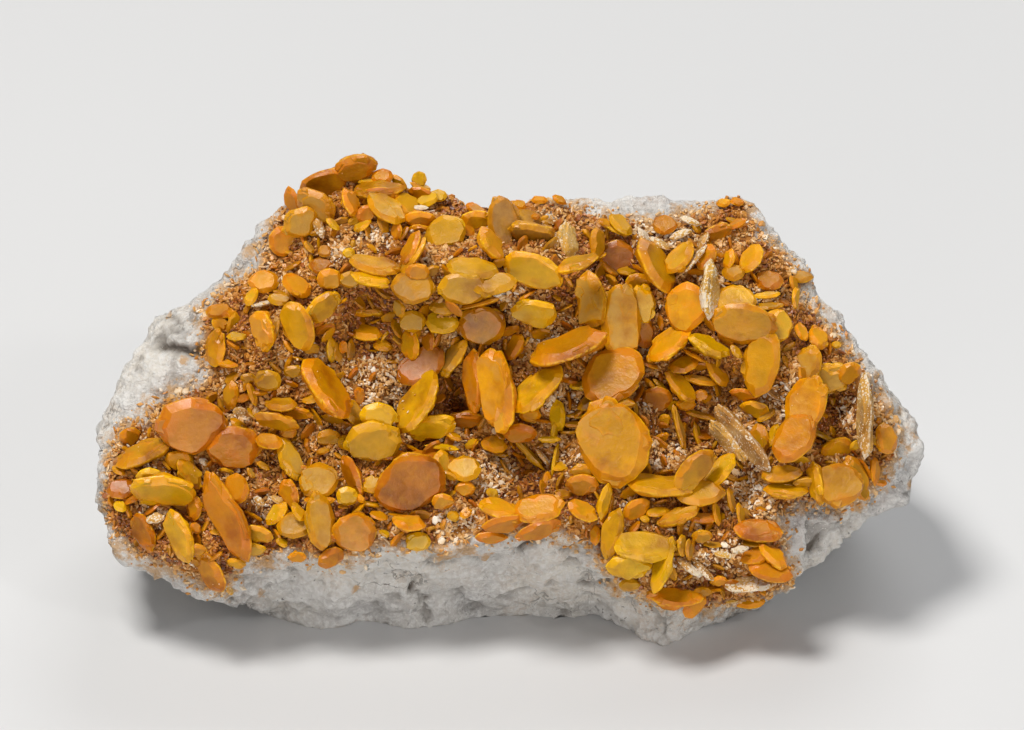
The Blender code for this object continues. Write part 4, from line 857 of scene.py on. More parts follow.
class Shading:
    """Short calls that make and join the nodes of a material or a node group."""

    def __init__(self, tree: bpy.types.NodeTree) -> None:
        """Starts on the node tree that the nodes are added to."""
        self.tree = tree

    def add(self, kind: str, inputs: dict | None = None, **settings) -> bpy.types.Node:
        """Adds a node.

        Args:
            kind: The node's type name.
            inputs: Values or output sockets for its inputs, by name or number.
            settings: Its other settings.

        Returns:
            The node.
        """
        node = self.tree.nodes.new(kind)
        for name, value in settings.items():
            setattr(node, name, value)
        self.feed(node, inputs or {})
        return node

    def feed(self, node: bpy.types.Node, inputs: dict) -> None:
        """Sets or links some of a node's inputs.

        Args:
            node: The node.
            inputs: Values or output sockets, by the inputs' names or numbers.
        """
        for name, value in inputs.items():
            if isinstance(value, bpy.types.NodeSocket):
                self.tree.links.new(value, node.inputs[name])
            else:
                node.inputs[name].default_value = value

    def effect(self, group: bpy.types.NodeTree, inputs: dict) -> bpy.types.NodeOutputs:
        """Places a shared effect, and gives its outputs."""
        return self.add("ShaderNodeGroup", inputs, node_tree=group).outputs

    def place(self) -> bpy.types.NodeSocket:
        """The object's own coordinates."""
        return self.add("ShaderNodeTexCoord").outputs["Object"]

    def noise(self, scale: Value, detail: float, roughness: float = 0.55) -> bpy.types.NodeSocket:
        """A noise on the object's own coordinates, as a value around 0.5."""
        return self.add("ShaderNodeTexNoise", {"Vector": self.place(), "Scale": scale, "Detail": detail,
                                               "Roughness": roughness}).outputs["Fac"]

    def patches(self, where: Patches, pull: Value = 0.0) -> bpy.types.NodeSocket:
        """How much of a colour lies at each point, with more of it where the pull is higher."""
        lumps = self.math("ADD", self.noise(where.scale, where.detail, where.roughness), pull)
        return self.times(self.between(lumps, where.low, where.high), where.strength)

    def between(self, value: bpy.types.NodeSocket, low: float, high: float) -> bpy.types.NodeSocket:
        """The value stretched so that low becomes 0 and high 1, and kept between them."""
        stretched = self.add("ShaderNodeMapRange", {"Value": value, "From Min": low, "From Max": high})
        return stretched.outputs["Result"]

    def mixed(self, share: Value, first: Value | Color, second: Value | Color) -> bpy.types.NodeSocket:
        """A mix of two colours, with a share of the second."""
        one, other = (value if isinstance(value, bpy.types.NodeSocket) else opaque(value)
                      for value in (first, second))
        return self.add("ShaderNodeMix", {0: share, 6: one, 7: other}, data_type="RGBA").outputs[2]

    def math(self, operation: str, *values: Value) -> bpy.types.NodeSocket:
        """A sum, product or the like of numbers and sockets."""
        node = self.add("ShaderNodeMath", dict(enumerate(values)), operation=operation)
        return node.outputs["Value"]

    def times(self, one: Value, other: Value) -> bpy.types.NodeSocket:
        """The product of two numbers or sockets."""
        return self.math("MULTIPLY", one, other)

    def attribute(self, name: str) -> bpy.types.NodeSocket:
        """The value of an attribute of the mesh."""
        return self.add("ShaderNodeAttribute", attribute_name=name).outputs["Fac"]


def new_material(name: str) -> tuple[bpy.types.Material, Shading, bpy.types.Node]:
    """Makes a material.

    Args:
        name: The material's name.

    Returns:
        The material, its Shading and its Principled shader.
    """
    material = bpy.data.materials.new(name)
    material.use_nodes = True
    tree = material.node_tree
    return material, Shading(tree), tree.nodes["Principled BSDF"]


@dataclass
class EffectGroups:
    """The effects that several materials share, each a node group built once.

    Attributes:
        druse: Where specks gather.
        lit: Where light comes through a crystal.
        shaded: Where painted shade lies inside it, in random patches.
        frosted: Where its faces are pale.
        painted_edge_glint: Where a painted highlight lies along its edges, as a pale glint.
        glint_rim: How near to the rim that painted glint begins, and where it is full.
        zone: How near to the rim its colour begins, and where it is full.
        cloudy: How uneven the zone of that colour is.
    """

    druse: Patches = Patches(160.0, 3.0, 0.42, 0.68)
    lit: Patches = Patches(150.0, 3.0, 0.5, 0.62, strength=0.5)
    shaded: Patches = Patches(210.0, 4.0, 0.5, 0.7, strength=0.7)
    frosted: Patches = Patches(640.0, 6.0, 0.5, 0.7, roughness=0.7, strength=0.16)
    painted_edge_glint: Patches = Patches(1400.0, 3.0, 0.4, 0.6, strength=0.6)
    glint_rim: tuple[float, float] = (0.95, 1.0)
    zone: tuple[float, float] = (0.16, 0.66)
    cloudy: float = 1.7

    def __post_init__(self) -> None:
        """Builds the groups."""
        self.specks = self.build_specks()
        self.grain = self.build_grain()
        self.growth = self.build_growth()

    def start(self, name: str, inputs: dict[str, str], outputs: dict[str, str]) -> tuple:
        """Makes an empty group.

        Args:
            name: The group's name.
            inputs: The kind of each input socket, by name.
            outputs: The kind of each output socket, by name.

        Returns:
            The group, its Shading, its input node's sockets and its output node.
        """
        group = bpy.data.node_groups.new(name, "ShaderNodeTree")
        for in_out, sockets in (("INPUT", inputs), ("OUTPUT", outputs)):
            for label, kind in sockets.items():
                group.interface.new_socket(label, in_out=in_out, socket_type=kind)
        shade = Shading(group)
        return group, shade, shade.add("NodeGroupInput").outputs, shade.add("NodeGroupOutput")

    def build_specks(self) -> bpy.types.NodeTree:
        """Small pale grains scattered over a surface, gathered in patches.

        Returns:
            A group that takes Base, Speck, Scale, Amount and Cover, and puts out Color and Mask.
        """
        group, shade, given, result = self.start(
            "druse specks",
            {"Base": COLOR, "Speck": COLOR, "Scale": NUMBER, "Amount": NUMBER, "Cover": NUMBER},
            {"Color": COLOR, "Mask": NUMBER})
        cells = shade.add("ShaderNodeTexVoronoi",
                          {"Vector": shade.place(), "Scale": given["Scale"]}).outputs
        covered = shade.math("ADD", shade.patches(self.druse), given["Cover"])
        mask = shade.math("LESS_THAN", cells["Distance"], shade.times(covered, given["Amount"]))
        dull = shade.times(cells["Color"], given["Cover"])
        speck = shade.mixed(dull, given["Speck"], given["Base"])
        shade.feed(result, {"Color": shade.mixed(mask, given["Base"], speck), "Mask": mask})
        return group

    def build_grain(self) -> bpy.types.NodeTree:
        """Fine roughness of a broken surface.

        Returns:
            A group that takes Scale and Depth, and puts out Value and Normal.
        """
        group, shade, given, result = self.start(
            "surface grain", {"Scale": NUMBER, "Depth": NUMBER}, {"Value": NUMBER, "Normal": VECTOR})
        fine = shade.noise(given["Scale"], 6.0, 0.7)
        coarse = shade.noise(shade.times(given["Scale"], 0.32), 3.0, 0.5)
        height = shade.math("MULTIPLY_ADD", coarse, 2.0, fine)
        bump = shade.add("ShaderNodeBump", {"Height": height, "Distance": given["Depth"], "Strength": 1.0})
        shade.feed(result, {"Value": fine, "Normal": bump.outputs["Normal"]})
        return group

    def build_growth(self) -> bpy.types.NodeTree:
        """The colour of a crystal from its light edge over its rim to the middle of its face, with painted
        light and shade in it.

        Returns:
            A group that takes Rim, Face, Deep, Edge and Glow, and puts out Color.
        """
        group, shade, given, result = self.start(
            "growth zones", dict.fromkeys(("Rim", "Face", "PaintedShade", "Edge", "Glow"), COLOR), {"Color": COLOR})
        near_rim = shade.attribute("rim")
        cloud = shade.times(shade.math("SUBTRACT", shade.noise(330.0, 5.0, 0.6), 0.5), self.cloudy)
        # The rim's saturated colour is partly a painted glow of light through the thin edge, the face's
        # paler colour partly a painted sheen
        zone = shade.between(shade.math("ADD", near_rim, cloud), *self.zone)
        body = shade.mixed(zone, given["Face"], given["Rim"])
        # Painted glow, painted shade and pale frost, each laid in random patches
        for layer, where in (("Glow", self.lit), ("PaintedShade", self.shaded), ("Edge", self.frosted)):
            body = shade.mixed(shade.patches(where), body, given[layer])
        # Painted highlight: a pale glint of the edge colour along the very rim, in patches
        painted_edge_glint = shade.times(shade.between(near_rim, *self.glint_rim), shade.patches(self.painted_edge_glint))
        shade.feed(result, {"Color": shade.mixed(painted_edge_glint, body, given["Edge"])})
        return group


@dataclass(frozen=True)
class CrystalFinish:
    """The waxy to glassy finish of wulfenite of one tint.

    Attributes:
        rim: The colour of the rim and the bevels: the crystal's own orange, partly a painted glow of light
            through the thin edge.
        face: The colour of the middle of the faces: its own colour, paler in part as a painted sheen.
        deep: The colour of the painted shade on the crystal, in patches.
        lit: The yellower colour where light comes through it.
        edge: The colour of the light that catches its edge.
        specks: How large the grains of white druse on it are.
        cover: How much of it the druse covers outside its patches.
        speck: The colour of the druse.
        bumps: The height of its unevenness, in metres.
        roughness: The roughness of its faces.
        rough_specks: How much rougher the druse is.
        rough_grain: How much the roughness varies.
        values: How bright its darkest and its lightest crystals are.
        hues: How far the colour of either is turned.
        shader: The numbers that are the same all over it.
    """

    rim: Color
    face: Color
    deep: Color
    lit: Color
    edge: Color = paint(250, 198, 92)
    specks: float = 0.02
    cover: float = 0.0
    speck: Color = (0.85, 0.72, 0.5)
    bumps: float = 0.00012
    roughness: float = 0.2
    rough_specks: float = 0.3
    rough_grain: float = 0.25
    values: tuple[float, float] = (0.77, 1.08)
    hues: tuple[float, float] = (0.496, 0.511)
    shader: tuple = (
        ("IOR", 1.6), ("Specular IOR Level", 0.26), ("Coat Weight", 0.08), ("Coat Roughness", 0.15),
        ("Subsurface Weight", 0.12), ("Subsurface Radius", (1.0, 0.72, 0.25)), ("Subsurface Scale", 0.0012),
    )

    def material(self, name: str, groups: EffectGroups) -> bpy.types.Material:
        """Builds the material.

        Args:
            name: The material's name.
            groups: The shared effects.

        Returns:
            The material.
        """
        material, shade, shader = new_material(name)
        zones = {"Rim": self.rim, "Face": self.face, "PaintedShade": self.deep, "Edge": self.edge, "Glow": self.lit}
        growth = shade.effect(groups.growth, {zone: opaque(color) for zone, color in zones.items()})
        tone = shade.attribute("tone")
        value, hue = (shade.add("ShaderNodeMapRange", {"Value": tone, "To Min": low, "To Max": high})
                      .outputs["Result"] for low, high in (self.values, self.hues))
        toned = shade.add("ShaderNodeHueSaturation", {"Color": growth["Color"], "Value": value,
                                                      "Saturation": 1.08, "Hue": hue}).outputs["Color"]
        specks = shade.effect(groups.specks, {"Base": toned, "Speck": opaque(self.speck), "Scale": 2600.0,
                                              "Amount": self.specks, "Cover": self.cover})
        grain = shade.effect(groups.grain, {"Scale": 900.0, "Depth": self.bumps})
        rough = shade.math("MULTIPLY_ADD", specks["Mask"], self.rough_specks, self.roughness)
        rough = shade.math("MULTIPLY_ADD", grain["Value"], self.rough_grain, rough)
        shade.feed(shader, {"Base Color": specks["Color"], "Roughness": rough, "Normal": grain["Normal"],
                            **dict(self.shader)})
        return material


# The colours of each tint's rim, face, painted shade and painted glow of light through it, as they look on
# a display
CRYSTAL_COLORS = {
    Tint.GOLDEN: ((216, 138, 10), (194, 140, 42), (142, 78, 10), (226, 158, 10)),
    Tint.BUTTERSCOTCH: ((214, 140, 28), (196, 148, 76), (158, 92, 26), (214, 160, 52)),
    Tint.AMBER: ((208, 122, 8), (184, 122, 36), (130, 62, 8), (214, 142, 12)),
    Tint.ORANGE: ((218, 124, 8), (198, 128, 26), (150, 74, 8), (222, 142, 8)),
    Tint.TAN: ((202, 134, 34), (180, 134, 72), (136, 84, 34), (202, 146, 52)),
    Tint.SALMON: ((216, 126, 24), (196, 132, 68), (156, 82, 24), (220, 146, 42)),
    Tint.BROWN: ((194, 108, 8), (170, 102, 22), (108, 54, 8), (206, 128, 12)),
    Tint.YELLOW: ((214, 150, 8), (192, 142, 40), (150, 88, 8), (226, 162, 8)),
    Tint.STRAW: ((208, 154, 82), (208, 166, 108), (136, 84, 38), (210, 156, 84)),
}
FINISHES = {tint: CrystalFinish(*(paint(*color) for color in colors))
            for tint, colors in CRYSTAL_COLORS.items()}
FINISHES[Tint.STRAW] = replace(FINISHES[Tint.STRAW], edge=paint(248, 232, 204), specks=0.72, cover=0.3,
                               speck=(0.78, 0.66, 0.49), bumps=0.0004, roughness=0.26)


@dataclass(frozen=True)
class LimestoneFinish:
    """Matte limestone, creamy to bluish grey, and rusty under the crust, with painted shade in its hollows
    and cracks and a painted highlight on its ridges.

    Attributes:
        cream: Its lightest colour.
        grey: Its grey.
        blush: Its faint brownish stains.
        chalk_and_highlight: The colour of its chalky patches, also the painted highlight on its ridges.
        pits_and_shade: The dark colour of its pitting and cracks, also the painted shade of its hollows.
        ochre: Its stains.
        rust: The colour of the crust's ground.
        dark: The painted shade of the crust's hollows, laid in random patches of its ground.
        roughness: Its roughness.
        creamy: Where it is cream rather than grey.
        flushed: Where it is brownish.
        chalky: Where it is chalky.
        pitted: Where its fine pits are.
        crumbly: Where the pits gather.
        cracked: Where its fine cracks show.
        ochred: Where it is stained, if the mesh's own stain is added to the noise.
        rusty: Where the crust's ground is rust rather than painted shade.
        hollow_shade: The height, in millimetres, where painted shade begins in its hollows, and where it is
            darkest.
        ridge_highlight: The height where the painted highlight on its ridges begins, and where it is full.
        hollow_shade_strength: How dark the painted shade in the hollows is.
        ridge_highlight_strength: How strong the painted highlight on the ridges is.
        stain_pull: How much of the mesh's own stain is added.
        crack_scale: How many plates lie between the fine cracks in a metre.
        crack_width: How wide the cracks are, as a share of a plate.
        crack_bend: How much they are bent.
    """

    cream: Color = paint(240, 233, 222)
    grey: Color = paint(214, 210, 206)
    blush: Color = paint(218, 194, 174)
    chalk_and_highlight: Color = paint(248, 245, 240)
    pits_and_shade: Color = paint(104, 92, 80)
    ochre: Color = paint(210, 154, 72)
    rust: Color = paint(196, 128, 52)
    dark: Color = paint(104, 52, 18)
    roughness: float = 0.85
    creamy: Patches = Patches(60.0, 5.0, 0.4, 0.6)
    flushed: Patches = Patches(110.0, 5.0, 0.5, 0.66, roughness=0.65, strength=0.4)
    chalky: Patches = Patches(1200.0, 6.0, 0.47, 0.58, roughness=0.75, strength=0.75)
    # pitted: Where its fine pitting is. crumbly: Where the pitting gathers.
    pitted: Patches = Patches(1100.0, 4.0, 0.64, 0.69, roughness=0.6)
    crumbly: Patches = Patches(150.0, 3.0, 0.42, 0.6, strength=0.85)
    cracked: Patches = Patches(75.0, 4.0, 0.54, 0.6, strength=0.5)
    ochred: Patches = Patches(520.0, 6.0, 0.88, 1.04, roughness=0.72, strength=0.7)
    rusty: Patches = Patches(500.0, 4.0, 0.4, 0.56, roughness=0.65)
    hollow_shade: tuple[float, float] = (-0.55, -1.6)
    ridge_highlight: tuple[float, float] = (-0.1, 0.45)
    hollow_shade_strength: float = 0.9
    ridge_highlight_strength: float = 0.7
    stain_pull: float = 0.55
    crack_scale: float = 95.0
    crack_width: float = 0.016
    crack_bend: float = 0.012

    def material(self, name: str, groups: EffectGroups) -> bpy.types.Material:
        """Builds the material.

        Args:
            name: The material's name.
            groups: The shared effects.

        Returns:
            The material.
        """
        material, shade, shader = new_material(name)
        relief = shade.attribute("relief")
        pull = shade.times(shade.attribute("stain"), self.stain_pull)
        stone = self.grey
        for where, color in (
            (shade.patches(self.creamy), self.cream),
            (shade.patches(self.flushed), self.blush),
            (shade.patches(self.chalky), self.chalk_and_highlight),
            # Painted shade: the dark colour of the pitting darkens the low places of the marked relief
            (shade.times(shade.between(relief, *self.hollow_shade), self.hollow_shade_strength), self.pits_and_shade),
            # Painted highlight: the chalky colour lightens the high places of the marked relief
            (shade.times(shade.between(relief, *self.ridge_highlight), self.ridge_highlight_strength), self.chalk_and_highlight),
            (shade.times(shade.patches(self.pitted), shade.patches(self.crumbly)), self.pits_and_shade),
            (shade.times(self.cracks(shade), shade.patches(self.cracked)), self.pits_and_shade),
            (shade.patches(self.ochred, pull), self.ochre),
        ):
            stone = shade.mixed(where, stone, color)
        # Painted shade: the dark colour in random patches of the crust's ground
        ground = shade.mixed(shade.patches(self.rusty), self.dark, self.rust)
        stone = shade.mixed(shade.attribute("crust"), stone, ground)
        specks = shade.effect(groups.specks, {"Base": stone, "Speck": (0.93, 0.9, 0.84, 1.0),
                                              "Scale": 1900.0, "Amount": 0.25})
        grain = shade.effect(groups.grain, {"Scale": 1400.0, "Depth": 0.001})
        shade.feed(shader, {"Base Color": specks["Color"], "Normal": grain["Normal"],
                            "Roughness": self.roughness, "Specular IOR Level": 0.3})
        return material

    def cracks(self, shade: Shading) -> bpy.types.NodeSocket:
        """A net of fine, bent cracks: 1 in a crack, and otherwise 0."""
        place = shade.place()
        warp = shade.add("ShaderNodeTexNoise", {"Vector": place, "Scale": 260.0, "Detail": 3.0})
        bent = shade.add("ShaderNodeMix", {0: self.crack_bend, 4: place, 5: warp.outputs["Color"]},
                         data_type="VECTOR")
        cells = shade.add("ShaderNodeTexVoronoi", {"Vector": bent.outputs[1], "Scale": self.crack_scale},
                          feature="DISTANCE_TO_EDGE")
        return shade.math("LESS_THAN", cells.outputs["Distance"], self.crack_width)


@dataclass(frozen=True)
class GrainFinish:
    """The sparkling grains of the crust, from white through gold to rust.

    Attributes:
        shades: The colours along the grains' tones: where each begins, and the colour.
        roughness: Their roughness.
    """

    shades: tuple = ((0.0, paint(100, 48, 16)), (0.22, paint(160, 88, 26)), (0.45, paint(196, 130, 44)),
                     (0.65, paint(208, 156, 84)), (0.85, paint(222, 188, 140)), (1.0, paint(238, 226, 206)))
    roughness: float = 0.32

    def material(self, name: str, groups: EffectGroups) -> bpy.types.Material:
        """Builds the material.

        Args:
            name: The material's name.
            groups: The shared effects.

        Returns:
            The material.
        """
        material, shade, shader = new_material(name)
        wobble = shade.times(shade.math("SUBTRACT", shade.noise(700.0, 3.0), 0.5), 0.35)
        ramp = shade.add("ShaderNodeValToRGB", {"Fac": shade.math("ADD", shade.attribute("tone"), wobble)})
        points = ramp.color_ramp.elements
        for number, (where, color) in enumerate(self.shades):
            point = points[number] if number < len(points) else points.new(where)
            point.position = where
            point.color = opaque(color)
        grain = shade.effect(groups.grain, {"Scale": 2600.0, "Depth": 0.00008})
        shade.feed(shader, {"Base Color": ramp.outputs["Color"], "Normal": grain["Normal"],
                            "Roughness": self.roughness, "IOR": 1.6})
        return material


@dataclass
class TintedCrystals:
    """All the crystals of one tint, intergrown into one piece.

    Attributes:
        tint: Their tint.
        nodes: The names of the solids that they stand for.
        box: The box that they stay inside.
        bevel: The width of a bevel as a share of the crystal's thickness.
        widest_bevel: The most of a crystal's width that its bevel may take.
        large: From which length on a crystal has finer facets and more lobes, in millimetres.
        lobe_size: The sizes of its lobes as shares of its own.
        lobe_reach: How far out the lobes' rims are, as a share of its size.
        lobe_lift: How far up or down they lie, as a share of its thickness.
        lobe_turn: How far they are turned in its plane, in radians.
        lobe_lean: How far they lean out of its plane, in radians.
        lobe_thickness: Their thicknesses as shares of its own.
        lobe_bevel: The share of their radius that their bevels take.
        lobe_tone: How much darker or lighter they are.
    """

    tint: Tint
    nodes: list[str]
    box: Box
    bevel: float = 0.75
    widest_bevel: float = 0.34
    large: float = 5.5
    lobe_size: tuple[float, float] = (0.26, 0.58)
    lobe_reach: float = 0.53
    lobe_lift: tuple[float, float] = (-0.14, 0.14)
    lobe_turn: tuple[float, float] = (-0.3, 0.3)
    lobe_lean: tuple[float, float] = (-0.05, 0.05)
    lobe_thickness: tuple[float, float] = (0.55, 0.85)
    lobe_bevel: tuple[float, float] = (0.22, 0.36)
    lobe_tone: tuple[float, float] = (-0.2, 0.25)

    def build(self) -> bpy.types.Object:
        """Builds the piece.

        Returns:
            The piece.
        """
        piece = PieceOfMany(f"{self.tint.value}_crystals", self.box)
        for row in PLATES[self.tint]:
            plate = Plate(*row)
            draw = random.Random(f"{plate.u} {plate.v} growth")
            bevel = min(self.widest_bevel, self.bevel * plate.thick / plate.width)
            large = plate.length >= self.large
            tone = draw.random()
            tablet = Tablet(f"{plate.u} {plate.v}", bevel, facets=3 if large else 2, tone=tone)
            piece.add(tablet.mesh(), plate.place())
            for lobe in range(draw.choice((3, 4, 5)) if large else draw.choice((0, 1, 2))):
                self.add_lobe(piece, plate, lobe, draw, tone)
        return piece.build()

    def add_lobe(self, piece: PieceOfMany, plate: Plate, number: int, draw: random.Random,
                 tone: float) -> None:
        """Adds a smaller tablet that has grown nearly parallel to a crystal, at its rim.

        Args:
            piece: The piece to add it to.
            plate: The crystal that it has grown with.
            number: Which of the crystal's lobes it is.
            draw: Where its place and size are drawn from.
            tone: The crystal's shade.
        """
        around = draw.uniform(0, 2 * math.pi)
        size = draw.uniform(*self.lobe_size)
        far = self.lobe_reach - size * 0.5
        lift = draw.uniform(*self.lobe_lift)
        turn = Matrix.Rotation(draw.uniform(*self.lobe_turn), 4, "Z")
        lean = Matrix.Rotation(draw.uniform(*self.lobe_lean), 4, "X")
        shift = Matrix.Translation((far * math.cos(around), far * math.sin(around), lift))
        shrink = Matrix.Diagonal((size, size, draw.uniform(*self.lobe_thickness), 1))
        tablet = Tablet(f"{plate.u} {plate.v} {number}", draw.uniform(*self.lobe_bevel), facets=2,
                        tone=min(max(tone + draw.uniform(*self.lobe_tone), 0), 1),
                        sides=draw.choice((6, 7, 8)))
        piece.add(tablet.mesh(), plate.place() @ shift @ lean @ turn @ shrink)

    def dress(self, piece: bpy.types.Object, material: bpy.types.Material) -> None:
        """Gives the piece its finish and its place in the model.

        Args:
            piece: The piece.
            material: The material of its tint.
        """
        piece.data.materials.append(material)
        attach(piece, "root")
        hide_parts(*self.nodes)


@dataclass
class LimestoneMatrix:
    """The limestone wedge, with its fine broken surface and the rusty ground of the crust.

    Lengths are in millimetres, apart from voxel.

    Attributes:
        box: The box that it stays inside.
        voxel: The size of its facets, in metres.
        smoothing: How often the solid's own facets are smoothed.
        blunting: How much the sharpest points of the broken surface are taken off.
        facing: How squarely a surface faces out of the face where the front begins.
        crusted: How squarely it faces out where the crust does.
        behind: How far behind the spot depths the front reaches.
        crust_fade: How wide the edge of the crust is.
        stain_fade: How far the rust reaches out of it over the bare rock.
        chips: The sizes of the chips, and how strong each is.
        deepest: How deep the chipped surface goes.
        proudest: How high it rises.
        rough: How rough it is between the chips.
        crumbs: How rough the crust's ground is.
        lump: The size of the largest lumps of both.
        sunk: How deep the surface lies on the whole: the bare rock, and the crust's ground.
        crack_depth: How deep the cracks are.
        crack_shade: How much darker the painted shade makes them, marked as extra depth.
        spot_darkness: How much darker those spots are made, through the relief mark.
        stain_middle: How stained the rock is in the middle of a stain.
        stain_slope: How much of that is lost at the stain's radius.
        standing: How near to the floor the rock stands flat on it.
        seed: The seed of the ways in which the chips lean.
    """

    box: Box
    voxel: float = 0.00062
    smoothing: int = 2
    blunting: float = 0.3
    facing: float = -0.3
    crusted: float = 0.05
    behind: float = 4.0
    crust_fade: float = 0.8
    stain_fade: float = 7.0
    chips: tuple = ((6.0, 0.4), (2.6, 0.5))
    deepest: float = -1.1
    proudest: float = 0.55
    rough: float = 0.5
    crumbs: float = 0.45
    lump: float = 1.5
    sunk: tuple[float, float] = (0.3, 0.5)
    crack_depth: float = 1.1
    crack_shade: float = 1.2
    spot_darkness: float = 0.6
    stain_middle: float = 1.2
    stain_slope: float = 0.5
    standing: float = 0.15
    seed: int = 11

    def build(self) -> bpy.types.Object:
        """Builds the piece.

        Returns:
            The piece.
        """
        noise.seed_set(self.seed)
        bm = bmesh.new()
        bm.from_mesh(bpy.data.objects["limestone_matrix"].data)
        bmesh.ops.remove_doubles(bm, verts=bm.verts, dist=1e-6)
        piece = put_in_scene("limestone", mesh_from(bm, "limestone"))
        remesh = piece.modifiers.new("fine", "REMESH")
        remesh.mode = "VOXEL"
        remesh.voxel_size = self.voxel
        graph = bpy.context.evaluated_depsgraph_get()
        fine = bpy.data.meshes.new_from_object(piece.evaluated_get(graph))
        piece.modifiers.clear()
        piece.data = fine
        self.weather(fine)
        fine.shade_smooth()
        return piece

    def weather(self, mesh: bpy.types.Mesh) -> None:
        """Roughens the surface, and marks the crust and the stains around it.

        Args:
            mesh: The fine mesh, which is changed.
        """
        bm = bmesh.new()
        bm.from_mesh(mesh)
        self.drop_specks(bm)
        for _ in range(self.smoothing):
            self.smooth(bm, 0.5)
        bm.normal_update()
        layers = tuple(bm.verts.layers.float.new(name) for name in ("crust", "stain", "relief"))
        moved = [(vert, self.mark(vert, layers) * vert.normal) for vert in bm.verts]
        on_floor = [vert for vert in bm.verts if vert.co.z < self.standing * MM]
        for vert, move in moved:
            vert.co += move
        self.smooth(bm, self.blunting)
        for vert in on_floor:
            vert.co.z = 0
        self.box.keep(bm.verts)
        bm.to_mesh(mesh)
        bm.free()

    def smooth(self, bm: bmesh.types.BMesh, factor: float) -> None:
        """Moves each point of a mesh towards the middle of its neighbours."""
        bmesh.ops.smooth_vert(bm, verts=bm.verts, factor=factor, use_axis_x=True, use_axis_y=True,
                              use_axis_z=True)

    def drop_specks(self, bm: bmesh.types.BMesh) -> None:
        """Deletes the loose specks that the remeshing leaves inside the rock.

        Args:
            bm: The mesh, which is changed.
        """
        lowest = min(bm.verts, key=lambda vert: vert.co.z)
        reached = {lowest}
        front = [lowest]
        while front:
            vert = front.pop()
            beside = {edge.other_vert(vert) for edge in vert.link_edges} - reached
            reached |= beside
            front.extend(beside)
        loose = [vert for vert in bm.verts if vert not in reached]
        bmesh.ops.delete(bm, geom=loose, context="VERTS")

    def mark(self, vert: bmesh.types.BMVert, layers: tuple) -> float:
        """Marks how crusted, how stained and how high or sunken a point of the surface is, for the painted
        shade and highlight.

        Args:
            vert: The point.
            layers: The layers for the three.

        Returns:
            How far it is to be moved along its normal, in metres.
        """
        crust_layer, stain_layer, relief_layer = layers
        u, v, w = FACE.seen(vert.co)
        facing = vert.normal.dot(FACE.out)
        in_front = facing > self.facing and w > FRONT.depth(u, v) - self.behind
        crust = 0.0
        if in_front:
            depth = inside(u, v, CRUST_EDGE)
            vert[stain_layer] = max(min(max(1 + depth / self.stain_fade, 0), 1), self.stained(u, v))
            if facing > self.crusted:
                crust = min(max(depth / self.crust_fade + 0.5, 0), 1)
        vert[crust_layer] = crust
        lift = self.lift(vert.co, crust)
        vert[relief_layer] = lift / MM
        if in_front and crust < 1:
            crack = max(0.0, *(1 - off_line(u, v, *line) / reach for *line, reach in CRACKS))
            # Spots made darker through the relief mark, without being moved
            darker_spot = max(0.0, *(1 - math.hypot(u - a, v - b) / radius for a, b, radius in DARKER_SPOTS))
            lift -= crack * self.crack_depth * MM
            # Painted shade: the cracks are marked deeper than they are moved, so the shader darkens them
            vert[relief_layer] -= crack * self.crack_shade + darker_spot * self.spot_darkness
        return lift

    def stained(self, u: float, v: float) -> float:
        """How stained the bare rock is at a place, which is below 0 far from every stain."""
        return max(self.stain_middle - self.stain_slope * math.hypot(u - a, v - b) / radius
                   for a, b, radius in STAINS)

    def lift(self, point: Vector, crust: float) -> float:
        """How far the surface is moved at a point.

        Args:
            point: The point, in metres.
            crust: How crusted it is there, from 0 to 1.

        Returns:
            The move along the normal, in metres.
        """
        place = point / MM
        broken = sum(self.chipped(place, size) * strength for size, strength in self.chips)
        rough = noise.fractal(place / self.lump, 0.6, 2.1, 3) * self.rough
        crumbs = noise.fractal(place / self.lump + Vector((0, 70, 0)), 0.8, 2.0, 3) * self.crumbs
        sunk_rock, sunk_crust = self.sunk
        stone = min(max(broken + rough - sunk_rock, self.deepest), self.proudest)
        return (stone * (1 - crust) + (crumbs - sunk_crust) * crust) * MM

    def chipped(self, place: Vector, size: float) -> float:
        """How high the surface lies where it has broken into flat chips that lean their own ways.

        Args:
            place: The point, in millimetres.
            size: How large the chips are, in millimetres.

        Returns:
            The height, in millimetres.
        """
        middle = noise.voronoi(place / size)[1][0]
        # Spreading the middles out keeps the leans of neighbours unrelated
        lean = noise.noise_vector(middle * 7.7)
        return (place / size - middle).dot(lean) * size

    def dress(self, piece: bpy.types.Object, groups: EffectGroups) -> None:
        """Gives the piece its finish and its place in the model.

        Args:
            piece: The piece.
            groups: The shared effects.
        """
        piece.data.materials.append(LimestoneFinish().material("limestone", groups))
        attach(piece, "root")
        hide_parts("limestone_matrix")


def surface_of(objects: list[bpy.types.Object]) -> BVHTree:
    """A tree of the faces of some pieces, for finding where a ray meets them."""
    bm = bmesh.new()
    for obj in objects:
        bm.from_mesh(obj.data)
    tree = BVHTree.FromBMesh(bm)
    bm.free()
    return tree


@dataclass
class Ground:
    """What is seen square on to the face at a place: the bare crust, or a crystal over it.

    Attributes:
        rock: The faces of the limestone.
        crystals: The faces of the crystals.
        above: How far out of the face it is looked at from, in millimetres.
    """

    rock: BVHTree
    crystals: BVHTree
    above: float = 60.0

    def look(self, u: float, v: float) -> tuple[Vector, Vector, bool] | None:
        """Looks for what lies at a place.

        Args:
            u: Millimetres to the right.
            v: Millimetres up the face.

        Returns:
            The point, the normal there and whether it is on a crystal, or None where there is nothing.
        """
        start = FACE.at(u, v, self.above)
        point, normal, _, far = self.rock.ray_cast(start, -FACE.out)
        if point is None:
            return None
        top, top_normal, _, top_far = self.crystals.ray_cast(start, -FACE.out)
        if top is not None and top_far < far:
            return top, top_normal, True
        return point, normal, False


